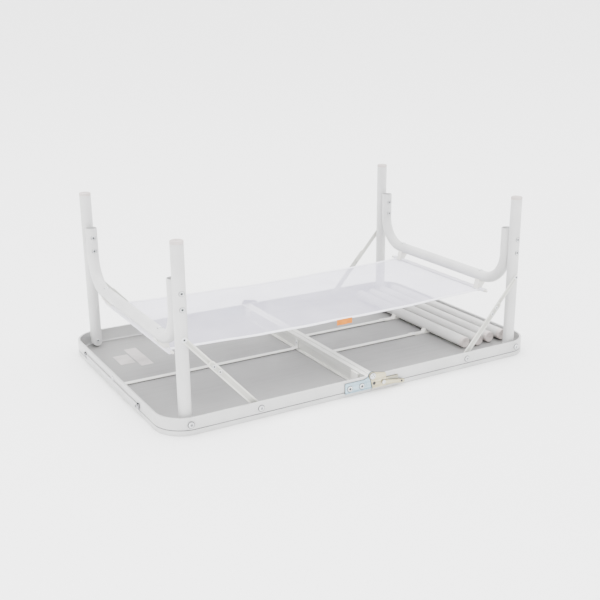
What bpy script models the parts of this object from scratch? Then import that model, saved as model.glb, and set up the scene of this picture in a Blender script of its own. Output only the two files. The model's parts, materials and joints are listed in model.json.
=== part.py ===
"""Folding camp table, lying on its top with its legs up.

X runs along the length, Y across, +Z up. The origin is under the middle of the
fold, on the ground that the table's rims rest on. Sizes are in metres.
"""

import math

import bmesh
import bpy

# Overall sizes
TABLE_LENGTH = 0.900
TABLE_WIDTH = 0.580
RIM_HEIGHT = 0.035
LEG_TOP = 0.366
CORNER_RADIUS = 0.062

# Clearances
GAP = 0.0003  # between pieces that touch
PIN_GAP = 0.0003  # round a rivet or pin in its hole
CUTTER_REACH = 0.02  # how far a hole's cutter runs past the sides
CLOSED_GAP = 0.001  # between the two rims when the table is folded
SPLIT_GAP = 0.001  # between the two middle rails

# Rim extrusion, seen in section
RIM_WALL = 0.0018
RIM_BAND_SETBACK = 0.0004  # the upper band sits this far inside the bead
RIM_BEAD_HEIGHT = 0.0098
RIM_GROOVE_HEIGHT = 0.0014
RIM_GROOVE_DEPTH = 0.0013
RIM_TOP_LIP = 0.005
RIM_FLANGE = 0.009  # reach of the flange above the panel
RIM_LOWER_FLANGE = 0.007
FLANGE_THICKNESS = 0.0016
RIM_CHAMFER = 0.0008

# Panels, rails and ribs
PANEL_THICKNESS = 0.0038
PANEL_RECESS = 0.0015  # from the ground to the panel's face
RAIL_WIDTH = 0.011
RAIL_FLANGE = 0.0065
RIB_WIDTH = 0.012
RIB_THICKNESS = 0.0022
RIB_TAB_TOP = 0.028
RIB_TAB_WIDTH = 0.0018
RIB_STEP = 0.002  # slope of a rib where it steps over a flange
RIGHT_RIB_OFFSET = 0.063

# Leg frames
TUBE_RADIUS = 0.0125
TUBE_WALL = 0.0012
LEG_END_DISTANCE = 0.050  # from the table's end to the leg's axis
LEG_SIDE_DISTANCE = 0.028  # from the table's side to the leg's axis
PIVOT_HEIGHT = 0.0215
LEG_BAR_END = 0.291
LEG_BAR_HEIGHT = 0.160
LEG_BAR_BEND = 0.070
CAP_HEIGHT = 0.006
CAP_PLUG = 0.016
CAP_EDGE = 0.001  # chamfer round a foot

# Folding stays
STAY_FOOT_X = 0.255
STAY_LEG_DISTANCE = 0.162  # up the leg, from its pivot
STAY_THICKNESS = 0.0018
STAY_UPPER_WIDTH = 0.011
STAY_LOWER_WIDTH = 0.014
STAY_OVERLAP = 0.024

# Rivets and pins
RIVET_RADIUS = 0.003
RIVET_HEAD_RADIUS = 0.0055
RIVET_HEAD_HEIGHT = 0.0014
RIVET_TAIL_RADIUS = 0.0045
HEAD_CROWN = 0.0012  # how much narrower a head is at its top
COLLAR_RADIUS = 0.0058
HINGE_PIN_RADIUS = 0.0035
HINGE_PIN_HEAD_RADIUS = 0.0070
HINGE_PIN_HEAD_HEIGHT = 0.0022

# Hinge leaves and lock levers
LEAF_LENGTH = 0.065
LEAF_THICKNESS = 0.002
LEAF_BOTTOM = 0.012
LEAF_TOP = 0.030
LEAF_EAR_RADIUS = 0.0085
LEAF_EAR_CLEAR = 0.002  # beyond the other leaf's ear
LEAF_OVERLAY_LENGTH = 0.032
LEVER_PIVOT_X = 0.027
LEVER_PIVOT_HEIGHT = 0.0180
LEVER_LENGTH = 0.050
LEVER_WIDTH = 0.0085
LEVER_SLOPE = math.radians(-9)

# Stored extension tubes
EXTENSION_SPARE = 0.076  # how much shorter a tube is than the span between the legs
EXTENSION_PITCH = 0.037
EXTENSION_OFFSETS = (0.020, 0.017, 0.021, 0.018)  # how far each lies towards +Y
EXTENSION_FOOT = 0.010
EXTENSION_CLEAR = 0.0023  # from the rim to the last tube
CLIP_BASE = 0.0015
CLIP_WIDTH = 0.014
CLIP_BLOCK = 0.0026
CLIP_REACH = 0.047  # from the first tube to the clip's screw end
CLIP_OPENING = math.radians(20)  # below the tube's middle
CLIP_LIP = 0.002  # top of a cradle's outer wall
CLIP_SLOPE = 0.004  # that wall's slope down to the strip

# Mesh shelf
SHELF_SPARE = 0.180  # how much narrower the shelf is than the span between the legs
SHELF_THICKNESS = 0.0014
SHELF_HEIGHT = 0.130
ROD_RADIUS = 0.0025
ROD_INSET = 0.010  # from the leg's axis
HOOK_LEG_DISTANCE = 0.112  # from the leg's axis, so that a hook hangs on the straight of the bar
HOOK_WIDTH = 0.014
HOOK_BLOCK = 0.008
HOOK_ARM = 0.003

# Carry handle
HANDLE_LENGTH = 0.320
HANDLE_WIDTH = 0.010
HANDLE_THICKNESS = 0.003
HANDLE_OFFSET = 0.014
HANDLE_BOTTOM = 0.0115

# Smoothness
TUBE_SIDES = 20
CORNER_STEPS = 8
BEND_STEPS = 7
ARC_STEPS = 8
RIVET_SIDES = 16
ROD_SIDES = 12
SHARP_ANGLE = math.radians(32)

# Worked out from the sizes above
HALF_LENGTH = TABLE_LENGTH / 2
HALF_WIDTH = TABLE_WIDTH / 2
WALL_INNER = RIM_BAND_SETBACK + RIM_WALL
PANEL_TOP = PANEL_RECESS + PANEL_THICKNESS
FLANGE_BOTTOM = PANEL_TOP + GAP
FLANGE_TOP = FLANGE_BOTTOM + FLANGE_THICKNESS
RAIL_INNER = SPLIT_GAP / 2
RAIL_OUTER = RAIL_INNER + RAIL_WIDTH
FOLD_HEIGHT = RIM_HEIGHT + CLOSED_GAP / 2
LEG_X = HALF_LENGTH - LEG_END_DISTANCE
LEG_Y = HALF_WIDTH - LEG_SIDE_DISTANCE
LEG_BAR_Y = LEG_Y - 2 * TUBE_RADIUS - 2 * GAP
STAY_LEG_HEIGHT = PIVOT_HEIGHT + STAY_LEG_DISTANCE
UPPER_STAY_Y = LEG_Y + TUBE_RADIUS + GAP
LOWER_STAY_Y = UPPER_STAY_Y + STAY_THICKNESS + GAP
STAY_SPAN = math.hypot(LEG_X - STAY_FOOT_X, STAY_LEG_DISTANCE)
STAY_DIFFERENCE = STAY_LEG_DISTANCE - (LEG_X - STAY_FOOT_X)
LOWER_STAY = (STAY_SPAN + STAY_DIFFERENCE) / 2
UPPER_STAY = (STAY_SPAN - STAY_DIFFERENCE) / 2
STAY_ANGLE = math.atan2(STAY_LEG_DISTANCE, LEG_X - STAY_FOOT_X)
LEAF_FACE = HALF_WIDTH + GAP
OVERLAY_FACE = LEAF_FACE + LEAF_THICKNESS + GAP
LEVER_FACE = OVERLAY_FACE + LEAF_THICKNESS + GAP
EXTENSION_AXIS = FLANGE_BOTTOM + CLIP_BASE + GAP + TUBE_RADIUS
EXTENSION_LENGTH = 2 * LEG_Y - EXTENSION_SPARE
SHELF_WIDTH = 2 * LEG_Y - SHELF_SPARE
HOOK_OFFSET = LEG_Y - HOOK_LEG_DISTANCE
LAST_EXTENSION_X = HALF_LENGTH - WALL_INNER - TUBE_RADIUS - EXTENSION_CLEAR
FIRST_EXTENSION_X = LAST_EXTENSION_X - 3 * EXTENSION_PITCH
CLIP_START = FIRST_EXTENSION_X - CLIP_REACH
ROD_X = LEG_X - ROD_INSET
SHELF_END = ROD_X - HOOK_BLOCK / 2 - GAP

FINISHES = {
    "painted_rim": ((0.80, 0.80, 0.81), 0.35, 0.3),
    "painted_tube": ((0.84, 0.84, 0.85), 0.45, 0.0),
    "panel": ((0.52, 0.52, 0.52), 0.55, 0.0),
    "rail": ((0.60, 0.60, 0.60), 0.40, 0.3),
    "white_plastic": ((0.86, 0.86, 0.84), 0.50, 0.0),
    "cap_plastic": ((0.72, 0.69, 0.68), 0.55, 0.0),
    "zinc_plate": ((0.60, 0.66, 0.68), 0.30, 1.0),
    "zinc_yellow": ((0.67, 0.64, 0.50), 0.32, 1.0),
    "rivet_steel": ((0.66, 0.67, 0.68), 0.30, 1.0),
    "white_mesh": ((0.84, 0.84, 0.88), 0.80, 0.0),
    "handle_plastic": ((0.74, 0.74, 0.75), 0.50, 0.0),
}


def clear_scene():
    for obj in list(bpy.data.objects):
        bpy.data.objects.remove(obj, do_unlink=True)


def finish_material(name):
    material = bpy.data.materials.get(name)
    if material:
        return material
    colour, roughness, metallic = FINISHES[name]
    material = bpy.data.materials.new(name)
    material.use_nodes = True
    shader = material.node_tree.nodes["Principled BSDF"]
    shader.inputs["Base Color"].default_value = (*colour, 1.0)
    shader.inputs["Roughness"].default_value = roughness
    shader.inputs["Metallic"].default_value = metallic
    return material


def make_object(name, points, faces, finish, origin=(0, 0, 0)):
    """An object with these world points, with its own origin at the given place."""
    mesh = bpy.data.meshes.new(name)
    shifted = [tuple(p - o for p, o in zip(point, origin)) for point in points]
    mesh.from_pydata(shifted, [], faces)
    shell = bmesh.new()
    shell.from_mesh(mesh)
    bmesh.ops.recalc_face_normals(shell, faces=shell.faces)
    shell.to_mesh(mesh)
    shell.free()
    mesh.shade_smooth()
    mesh.set_sharp_from_angle(angle=SHARP_ANGLE)
    obj = bpy.data.objects.new(name, mesh)
    obj.location = origin
    bpy.context.collection.objects.link(obj)
    mesh.materials.append(finish_material(finish))
    return obj


def ring_faces(rings, size):
    """Quads between neighbouring rings of points, all of the same size."""
    faces = []
    for ring in range(rings - 1):
        for side in range(size):
            after = (side + 1) % size
            low, high = ring * size, (ring + 1) * size
            faces.append((low + side, low + after, high + after, high + side))
    return faces


def capped_rings(rings):
    """Points and faces of a solid whose sections are these rings, closed at both ends."""
    size = len(rings[0])
    points = [point for ring in rings for point in ring]
    faces = ring_faces(len(rings), size)
    last = (len(rings) - 1) * size
    faces.append(tuple(range(size)))
    faces.append(tuple(range(last, last + size)))
    return points, faces


def plate(name, outline, low, high, finish, origin=(0, 0, 0)):
    """An outline in X and Z, given thickness in Y between these two values."""
    rings = [[(x, y, z) for x, z in outline] for y in (low, high)]
    return make_object(name, *capped_rings(rings), finish, origin)


def turned(name, profile, centre, finish, sides=TUBE_SIDES):
    """A solid turned about a line along Y: profile gives (y, radius), and centre (x, z)."""
    rings = []
    for y, radius in profile:
        turns = [2 * math.pi * side / sides for side in range(sides)]
        rings.append(
            [(centre[0] + radius * math.cos(a), y, centre[1] + radius * math.sin(a)) for a in turns]
        )
    return make_object(name, *capped_rings(rings), finish, (centre[0], profile[0][0], centre[1]))


def arc(centre, radius, start, end, steps):
    """Points along an arc; the angles are in radians and may run either way."""
    angles = [start + (end - start) * step / steps for step in range(steps + 1)]
    return [(centre[0] + radius * math.cos(a), centre[1] + radius * math.sin(a)) for a in angles]


def hide_helper(obj):
    obj.hide_render = True
    obj.display_type = "WIRE"


def add_boolean(obj, operation, other):
    """The other object stays hidden as a helper of this one."""
    hide_helper(other)
    change = obj.modifiers.new(operation.title(), "BOOLEAN")
    change.operation = operation
    change.solver = "EXACT"
    change.object = other


def rim_section():
    """The rim's section as (distance in from its outer outline, height)."""
    groove_top = RIM_BEAD_HEIGHT + RIM_GROOVE_HEIGHT
    return [
        (RIM_CHAMFER, 0),
        (0, RIM_CHAMFER),
        (0, RIM_BEAD_HEIGHT),
        (RIM_GROOVE_DEPTH, RIM_BEAD_HEIGHT),
        (RIM_GROOVE_DEPTH, groove_top),
        (RIM_BAND_SETBACK, groove_top),
        (RIM_BAND_SETBACK, RIM_HEIGHT - RIM_CHAMFER),
        (RIM_BAND_SETBACK + RIM_CHAMFER, RIM_HEIGHT),
        (RIM_TOP_LIP, RIM_HEIGHT),
        (RIM_TOP_LIP, RIM_HEIGHT - FLANGE_THICKNESS),
        (WALL_INNER, RIM_HEIGHT - FLANGE_THICKNESS),
        (WALL_INNER, FLANGE_TOP),
        (RIM_FLANGE, FLANGE_TOP),
        (RIM_FLANGE, FLANGE_BOTTOM),
        (WALL_INNER, FLANGE_BOTTOM),
        (WALL_INNER, PANEL_RECESS - GAP),
        (RIM_LOWER_FLANGE, PANEL_RECESS - GAP),
        (RIM_LOWER_FLANGE, 0),
    ]


def half_outline(inset, start):
    """One half's outline at this inset, from the fold round the far end and back.

    It lies on the +X side and starts and ends at x = start."""
    radius = CORNER_RADIUS - inset
    middle_x = HALF_LENGTH - CORNER_RADIUS
    middle_y = HALF_WIDTH - CORNER_RADIUS
    quarter = math.pi / 2
    front = arc((middle_x, -middle_y), radius, -quarter, 0, CORNER_STEPS)
    back = arc((middle_x, middle_y), radius, 0, quarter, CORNER_STEPS)
    return [(start, inset - HALF_WIDTH), *front, *back, (start, HALF_WIDTH - inset)]


def corner_drop(x, inset):
    """How far the outline at this inset has curved in from the side at x."""
    radius = CORNER_RADIUS - inset
    past = max(x - (HALF_LENGTH - CORNER_RADIUS), 0)
    return radius - math.sqrt(max(radius**2 - past**2, 0))


def make_rim(side, sign):
    start = RAIL_OUTER + GAP
    lines = [(half_outline(inset, start), z) for inset, z in rim_section()]
    rings = []
    for step in range(len(lines[0][0])):
        rings.append([(sign * line[step][0], line[step][1], z) for line, z in lines])
    return make_object(side + "_rim", *capped_rings(rings), "painted_rim")


def make_panel(side, sign):
    outline = half_outline(WALL_INNER + GAP, RAIL_OUTER + GAP)
    rings = [[(sign * x, y, z) for x, y in outline] for z in (PANEL_RECESS, PANEL_TOP)]
    return make_object(side + "_panel", *capped_rings(rings), "panel")


def make_rail(side, sign):
    """A channel across the table beside the fold, with a flanged slot for the panel's edge."""
    wall = RAIL_OUTER - RIM_WALL
    top = RIM_HEIGHT - RIM_WALL
    channel = [
        (RAIL_INNER, 0),
        (RAIL_OUTER, 0),
        (RAIL_OUTER, RIM_HEIGHT),
        (RAIL_INNER, RIM_HEIGHT),
        (RAIL_INNER, top),
        (wall, top),
        (wall, RIM_WALL),
        (RAIL_INNER, RIM_WALL),
    ]
    outline = [(sign * x, z) for x, z in channel]
    rail = plate(side + "_rail", outline, -HALF_WIDTH, HALF_WIDTH, "rail")
    reach = HALF_WIDTH - RIM_FLANGE - GAP
    levels = ((0, PANEL_RECESS - GAP), (FLANGE_BOTTOM, FLANGE_TOP))
    for number, (low, high) in enumerate(levels):
        near, far = sign * (RAIL_OUTER - RIM_WALL / 2), sign * (RAIL_OUTER + RAIL_FLANGE)
        flange = [(near, low), (far, low), (far, high), (near, high)]
        helper = plate(f"{side}_rail_flange_{number}", flange, -reach, reach, "rail")
        add_boolean(rail, "UNION", helper)
    return rail


def rib_outline(start, end, tab_at_end):
    """A rib's side view: a strip on the panel, stepped over the flanges, with upright tabs."""
    low, high = FLANGE_BOTTOM, FLANGE_BOTTOM + RIB_THICKNESS
    over, over_top = FLANGE_TOP + GAP, FLANGE_TOP + GAP + RIB_THICKNESS
    inner = start + RIB_TAB_WIDTH
    step = start + RAIL_FLANGE + 2 * GAP + RIB_STEP
    points = [(start, over), (start, RIB_TAB_TOP), (inner, RIB_TAB_TOP), (inner, over_top)]
    points += [(step, over_top), (step + RIB_STEP, high)]
    if tab_at_end:
        inner = end - RIB_TAB_WIDTH
        back = end - (RIM_FLANGE - WALL_INNER + GAP) - RIB_STEP
        points += [(back - RIB_STEP, high), (back, over_top)]
        points += [(inner, over_top), (inner, RIB_TAB_TOP), (end, RIB_TAB_TOP), (end, over)]
        points += [(back, over), (back - RIB_STEP, low)]
    else:
        points += [(end, high), (end, low)]
    return points + [(step, low), (step - RIB_STEP, over)]


def make_rib(name, sign, y, end, tab_at_end):
    outline = rib_outline(RAIL_OUTER + GAP, end, tab_at_end)
    outline = [(sign * x, z) for x, z in outline]
    return plate(name, outline, y - RIB_WIDTH / 2, y + RIB_WIDTH / 2, "white_plastic")


def extension_x(number):
    return FIRST_EXTENSION_X + number * EXTENSION_PITCH


def make_tube_clip(name, y):
    """A strip under the stored tubes, with a cradle for each and a screw block at its end."""
    low = FLANGE_BOTTOM
    cradle = TUBE_RADIUS + GAP
    top = EXTENSION_AXIS - cradle * math.sin(CLIP_OPENING)
    block = FLANGE_BOTTOM + CLIP_BLOCK
    outline = [(CLIP_START, low), (CLIP_START, block)]
    outline += [(FIRST_EXTENSION_X - cradle - CLIP_LIP - CLIP_SLOPE, block)]
    outline += [(FIRST_EXTENSION_X - cradle - CLIP_LIP, top)]
    last = HALF_LENGTH - RIM_FLANGE - GAP
    for number in range(4):
        centre = (extension_x(number), EXTENSION_AXIS)
        start, end = math.pi + CLIP_OPENING, 2 * math.pi - CLIP_OPENING
        room = min((last - CLIP_LIP - centre[0]) / cradle, 1)
        end = min(end, 1.5 * math.pi + math.asin(room))
        outline += arc(centre, cradle, start, end, ARC_STEPS)
    outline += [(last, outline[-1][1]), (last, low)]
    return plate(name, outline, y - CLIP_WIDTH / 2, y + CLIP_WIDTH / 2, "white_plastic")


def tube_rings(path, radius):
    """Rings round a path that lies in a plane of constant X."""
    rings = []
    for number, (x, y, z) in enumerate(path):
        before = path[max(number - 1, 0)]
        after = path[min(number + 1, len(path) - 1)]
        along = math.atan2(after[2] - before[2], after[1] - before[1])
        ring = []
        for side in range(TUBE_SIDES):
            turn = 2 * math.pi * side / TUBE_SIDES
            out = radius * math.sin(turn)
            point = (x + radius * math.cos(turn), y - out * math.sin(along), z + out * math.cos(along))
            ring.append(point)
        rings.append(ring)
    return rings


def hollow(outer, inner):
    """Points and faces of a pipe: the outer rings, then the inner rings, joined at both ends."""
    size, count = len(outer[0]), len(outer)
    points = [point for ring in outer + inner for point in ring]
    shift = size * count
    faces = ring_faces(count, size)
    faces += [tuple(shift + corner for corner in face) for face in ring_faces(count, size)]
    for ring in (0, (count - 1) * size):
        for side in range(size):
            after = (side + 1) % size
            corners = (ring + side, ring + after, shift + ring + after, shift + ring + side)
            faces.append(corners)
    return points, faces


def make_leg(name, x, y):
    """A pipe with its lower end rounded about the pivot."""
    origin = (x, y, PIVOT_HEIGHT)
    top = LEG_TOP - CAP_HEIGHT - GAP
    path = [(x, y, PIVOT_HEIGHT), (x, y, top)]
    outer = tube_rings(path, TUBE_RADIUS)
    inner = tube_rings(path, TUBE_RADIUS - TUBE_WALL)
    for ring in (outer[0], inner[0]):
        for number, point in enumerate(ring):
            drop = math.sqrt(max(TUBE_RADIUS**2 - (point[0] - x) ** 2, 0))
            ring[number] = (point[0], point[1], PIVOT_HEIGHT - drop)
    return make_object(name, *hollow(outer, inner), "painted_tube", origin)


def make_leg_cap(name, x, y):
    """A foot on the leg's end, with a plug inside the pipe."""
    plug = TUBE_RADIUS - TUBE_WALL - GAP
    steps = [(LEG_TOP - CAP_HEIGHT - CAP_PLUG, plug), (LEG_TOP - CAP_HEIGHT, plug)]
    steps += [(LEG_TOP - CAP_HEIGHT, TUBE_RADIUS), (LEG_TOP - CAP_EDGE, TUBE_RADIUS)]
    steps += [(LEG_TOP, TUBE_RADIUS - CAP_EDGE)]
    rings = []
    for z, radius in steps:
        turns = [2 * math.pi * side / TUBE_SIDES for side in range(TUBE_SIDES)]
        rings.append([(x + radius * math.cos(a), y + radius * math.sin(a), z) for a in turns])
    return make_object(name, *capped_rings(rings), "cap_plastic")


def leg_bar_path(x):
    """From one upright end, down, across low, and up to the other end."""
    bend = LEG_BAR_BEND
    flat = LEG_BAR_Y - bend
    low = LEG_BAR_HEIGHT + bend
    quarter = math.pi / 2
    path = [(-LEG_BAR_Y, LEG_BAR_END)]
    path += arc((-flat, low), bend, math.pi, 3 * quarter, BEND_STEPS)
    path += arc((flat, low), bend, -quarter, 0, BEND_STEPS)
    path += [(LEG_BAR_Y, LEG_BAR_END)]
    return [(x, y, z) for y, z in path]


def make_leg_bar(name, x):
    path = leg_bar_path(x)
    outer = tube_rings(path, TUBE_RADIUS)
    inner = tube_rings(path, TUBE_RADIUS - TUBE_WALL)
    return make_object(name, *hollow(outer, inner), "painted_tube", (x, 0, PIVOT_HEIGHT))


def stay_outline(start, end, width):
    """A flat link with round ends about its two pivots, given as (x, z)."""
    along = math.atan2(end[1] - start[1], end[0] - start[0])
    quarter = math.pi / 2
    first = arc(start, width / 2, along + quarter, along + 3 * quarter, ARC_STEPS)
    return first + arc(end, width / 2, along - quarter, along + quarter, ARC_STEPS)


def make_stay(side, sign, end, direction):
    """The lower link pivots on the rim and the upper one on the leg; they meet at the knee."""
    foot = (sign * STAY_FOOT_X, PIVOT_HEIGHT)
    top = (sign * LEG_X, STAY_LEG_HEIGHT)
    knee_x = STAY_FOOT_X + LOWER_STAY * math.cos(STAY_ANGLE)
    knee_z = PIVOT_HEIGHT + LOWER_STAY * math.sin(STAY_ANGLE)
    past = LOWER_STAY + STAY_OVERLAP
    tip_x = STAY_FOOT_X + past * math.cos(STAY_ANGLE)
    tip_z = PIVOT_HEIGHT + past * math.sin(STAY_ANGLE)
    near, far = direction * LOWER_STAY_Y, direction * (LOWER_STAY_Y + STAY_THICKNESS)
    outline = stay_outline(foot, (sign * tip_x, tip_z), STAY_LOWER_WIDTH)
    name = f"{side}_lower_stay_{end}"
    lower = plate(name, outline, near, far, "painted_tube", (foot[0], near, foot[1]))
    near, far = direction * UPPER_STAY_Y, direction * (UPPER_STAY_Y + STAY_THICKNESS)
    outline = stay_outline(top, (sign * knee_x, knee_z), STAY_UPPER_WIDTH)
    name = f"{side}_upper_stay_{end}"
    plate(name, outline, near, far, "painted_tube", (top[0], near, top[1]))
    return lower


def mirrored(profile, direction):
    """A turned profile for the front (-1) or back (+1) side; y is given as for the back."""
    return [(direction * y, radius) for y, radius in profile]


def make_leg_rivet(name, x, direction):
    """Head outside the rim, collar between rim and leg, and a head inside the leg frame."""
    wall = HALF_WIDTH - WALL_INNER - corner_drop(LEG_X + COLLAR_RADIUS, WALL_INNER)
    outer_face = HALF_WIDTH + GAP
    leg_outer = LEG_Y + TUBE_RADIUS + GAP
    tail = LEG_BAR_Y + TUBE_RADIUS - GAP
    steps = [
        (outer_face + RIVET_HEAD_HEIGHT, RIVET_HEAD_RADIUS - HEAD_CROWN),
        (outer_face + RIVET_HEAD_HEIGHT / 2, RIVET_HEAD_RADIUS),
        (outer_face, RIVET_HEAD_RADIUS),
        (outer_face, RIVET_RADIUS),
        (wall - GAP, RIVET_RADIUS),
        (wall - GAP, COLLAR_RADIUS),
        (leg_outer, COLLAR_RADIUS),
        (leg_outer, RIVET_RADIUS),
        (tail - RIVET_HEAD_HEIGHT, RIVET_RADIUS),
    ]
    return turned(name, mirrored(steps, direction), (x, PIVOT_HEIGHT), "rivet_steel", RIVET_SIDES)


def make_stay_rivet(name, x, direction):
    """Head outside the rim, a long collar, and a tail through the lower link."""
    wall = HALF_WIDTH - WALL_INNER
    outer_face = HALF_WIDTH + GAP
    steps = [
        (outer_face + RIVET_HEAD_HEIGHT, RIVET_HEAD_RADIUS - HEAD_CROWN),
        (outer_face + RIVET_HEAD_HEIGHT / 2, RIVET_HEAD_RADIUS),
        (outer_face, RIVET_HEAD_RADIUS),
        (outer_face, RIVET_RADIUS),
        (wall - GAP, RIVET_RADIUS),
        (wall - GAP, COLLAR_RADIUS),
        (LOWER_STAY_Y + STAY_THICKNESS + GAP, COLLAR_RADIUS),
        (LOWER_STAY_Y + STAY_THICKNESS + GAP, RIVET_RADIUS),
        (LOWER_STAY_Y - GAP, RIVET_RADIUS),
        (LOWER_STAY_Y - GAP, RIVET_TAIL_RADIUS),
        (UPPER_STAY_Y + GAP, RIVET_TAIL_RADIUS),
    ]
    return turned(name, mirrored(steps, direction), (x, PIVOT_HEIGHT), "rivet_steel", RIVET_SIDES)


def make_holes():
    """Long cutters along Y, one for each row of rivet holes."""
    reach = HALF_WIDTH + CUTTER_REACH
    radius = RIVET_RADIUS + PIN_GAP
    holes = {}
    for side, sign in (("left", -1), ("right", 1)):
        for kind, x in (("leg", sign * LEG_X), ("stay", sign * STAY_FOOT_X)):
            profile = [(-reach, radius), (reach, radius)]
            cutter = turned(f"{side}_{kind}_hole", profile, (x, PIVOT_HEIGHT), "rivet_steel", RIVET_SIDES)
            hide_helper(cutter)
            holes[side, kind] = cutter
    return holes


def make_inner_leaf(end, direction):
    """The left half's leaf, flat against the rim, with an ear round the fold pin."""
    ear = arc((0, FOLD_HEIGHT), LEAF_EAR_RADIUS, math.radians(200), math.radians(-90), 2 * ARC_STEPS)
    outline = [(-RAIL_INNER, LEAF_BOTTOM), (-LEAF_LENGTH, LEAF_BOTTOM), (-LEAF_LENGTH, LEAF_TOP)]
    outline += [(-2 * LEAF_EAR_RADIUS, LEAF_TOP)]
    outline += ear
    outline += [(-RAIL_INNER, FOLD_HEIGHT - LEAF_EAR_RADIUS)]
    near, far = direction * LEAF_FACE, direction * (LEAF_FACE + LEAF_THICKNESS)
    return plate(f"left_hinge_leaf_{end}", outline, near, far, "zinc_plate")


def make_outer_leaf(end, direction):
    """The right half's leaf: flat against the rim, doubled where its ear laps the other."""
    start = LEAF_EAR_RADIUS + LEAF_EAR_CLEAR
    flat = [(start, LEAF_BOTTOM), (LEAF_LENGTH, LEAF_BOTTOM)]
    flat += [(LEAF_LENGTH, LEAF_TOP), (start, LEAF_TOP)]
    near, middle = direction * LEAF_FACE, direction * (OVERLAY_FACE + LEAF_THICKNESS / 2)
    name = f"right_hinge_leaf_{end}"
    leaf = plate(name, flat, near, middle, "zinc_yellow", (0, near, FOLD_HEIGHT))
    ear = arc((0, FOLD_HEIGHT), LEAF_EAR_RADIUS, math.radians(240), math.radians(80), 2 * ARC_STEPS)
    top = FOLD_HEIGHT + LEAF_EAR_CLEAR
    outline = [(RAIL_INNER, LEAF_BOTTOM)] + ear
    outline += [(LEAF_OVERLAY_LENGTH, top), (LEAF_OVERLAY_LENGTH, LEAF_BOTTOM)]
    near, far = direction * OVERLAY_FACE, direction * (OVERLAY_FACE + LEAF_THICKNESS)
    helper = plate(f"right_leaf_ear_{end}", outline, near, far, "zinc_yellow")
    add_boolean(leaf, "UNION", helper)
    return leaf


def make_hinge_pin(end, direction):
    face = OVERLAY_FACE + LEAF_THICKNESS + GAP
    steps = [
        (face + HINGE_PIN_HEAD_HEIGHT, HINGE_PIN_HEAD_RADIUS - HEAD_CROWN),
        (face + HINGE_PIN_HEAD_HEIGHT / 2, HINGE_PIN_HEAD_RADIUS),
        (face, HINGE_PIN_HEAD_RADIUS),
        (face, HINGE_PIN_RADIUS),
        (LEAF_FACE, HINGE_PIN_RADIUS),
    ]
    centre = (0, FOLD_HEIGHT)
    return turned(f"fold_pin_{end}", mirrored(steps, direction), centre, "rivet_steel", RIVET_SIDES)


def make_lever(end, direction):
    """A flat catch on the right leaf, lying along the rim."""
    pivot = (LEVER_PIVOT_X, LEVER_PIVOT_HEIGHT)
    tip = (
        pivot[0] + LEVER_LENGTH * math.cos(LEVER_SLOPE),
        pivot[1] + LEVER_LENGTH * math.sin(LEVER_SLOPE),
    )
    outline = stay_outline(pivot, tip, LEVER_WIDTH)
    near, far = direction * LEVER_FACE, direction * (LEVER_FACE + LEAF_THICKNESS)
    origin = (pivot[0], near, pivot[1])
    return plate(f"lock_lever_{end}", outline, near, far, "zinc_yellow", origin)


def make_hinges():
    reach = HALF_WIDTH + CUTTER_REACH
    profile = [(-reach, HINGE_PIN_RADIUS + PIN_GAP), (reach, HINGE_PIN_RADIUS + PIN_GAP)]
    hole = turned("fold_pin_hole", profile, (0, FOLD_HEIGHT), "rivet_steel", RIVET_SIDES)
    for end, direction in (("front", -1), ("back", 1)):
        add_boolean(make_inner_leaf(end, direction), "DIFFERENCE", hole)
        add_boolean(make_outer_leaf(end, direction), "DIFFERENCE", hole)
        make_hinge_pin(end, direction)
        make_lever(end, direction)


def make_extension(number):
    """A stored leg extension: a pipe and the foot on its front end."""
    x = extension_x(number)
    middle = EXTENSION_OFFSETS[number]
    front = middle - EXTENSION_LENGTH / 2
    back = middle + EXTENSION_LENGTH / 2
    path = [(x, front + EXTENSION_FOOT + GAP, EXTENSION_AXIS), (x, back, EXTENSION_AXIS)]
    outer = tube_rings(path, TUBE_RADIUS)
    inner = tube_rings(path, TUBE_RADIUS - TUBE_WALL)
    origin = (x, middle, EXTENSION_AXIS)
    label = number + 1
    make_object(f"extension_tube_{label}", *hollow(outer, inner), "painted_tube", origin)
    plug = TUBE_RADIUS - TUBE_WALL - GAP
    steps = [
        (front, TUBE_RADIUS - CAP_EDGE),
        (front + CAP_EDGE, TUBE_RADIUS),
        (front + EXTENSION_FOOT, TUBE_RADIUS),
        (front + EXTENSION_FOOT, plug),
        (front + EXTENSION_FOOT + CAP_PLUG, plug),
    ]
    turned(f"extension_foot_{label}", steps, (x, EXTENSION_AXIS), "cap_plastic")


def make_shelf_rod(side, sign):
    """The rod in the mesh's end hem, hung under the leg bar from two hooks."""
    reach = SHELF_WIDTH / 2
    x = sign * ROD_X
    profile = [(-reach, ROD_RADIUS), (reach, ROD_RADIUS)]
    rod = turned(f"{side}_shelf_rod", profile, (x, SHELF_HEIGHT), "white_plastic", ROD_SIDES)
    half = HOOK_BLOCK / 2
    bar = LEG_BAR_HEIGHT - TUBE_RADIUS - GAP
    for number, y in enumerate((-HOOK_OFFSET, HOOK_OFFSET)):
        outline = [
            (ROD_X - half, SHELF_HEIGHT - half),
            (ROD_X - half, SHELF_HEIGHT + half),
            (LEG_X - HOOK_BLOCK, bar),
            (LEG_X + half, bar),
            (LEG_X + half, bar - HOOK_ARM),
            (LEG_X - half, bar - HOOK_ARM),
            (ROD_X + half, SHELF_HEIGHT - half),
        ]
        outline = [(sign * px, pz) for px, pz in outline]
        low, high = y - HOOK_WIDTH / 2, y + HOOK_WIDTH / 2
        hook = plate(f"{side}_shelf_hook_{number}", outline, low, high, "white_plastic")
        add_boolean(rod, "UNION", hook)
    return rod


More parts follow.
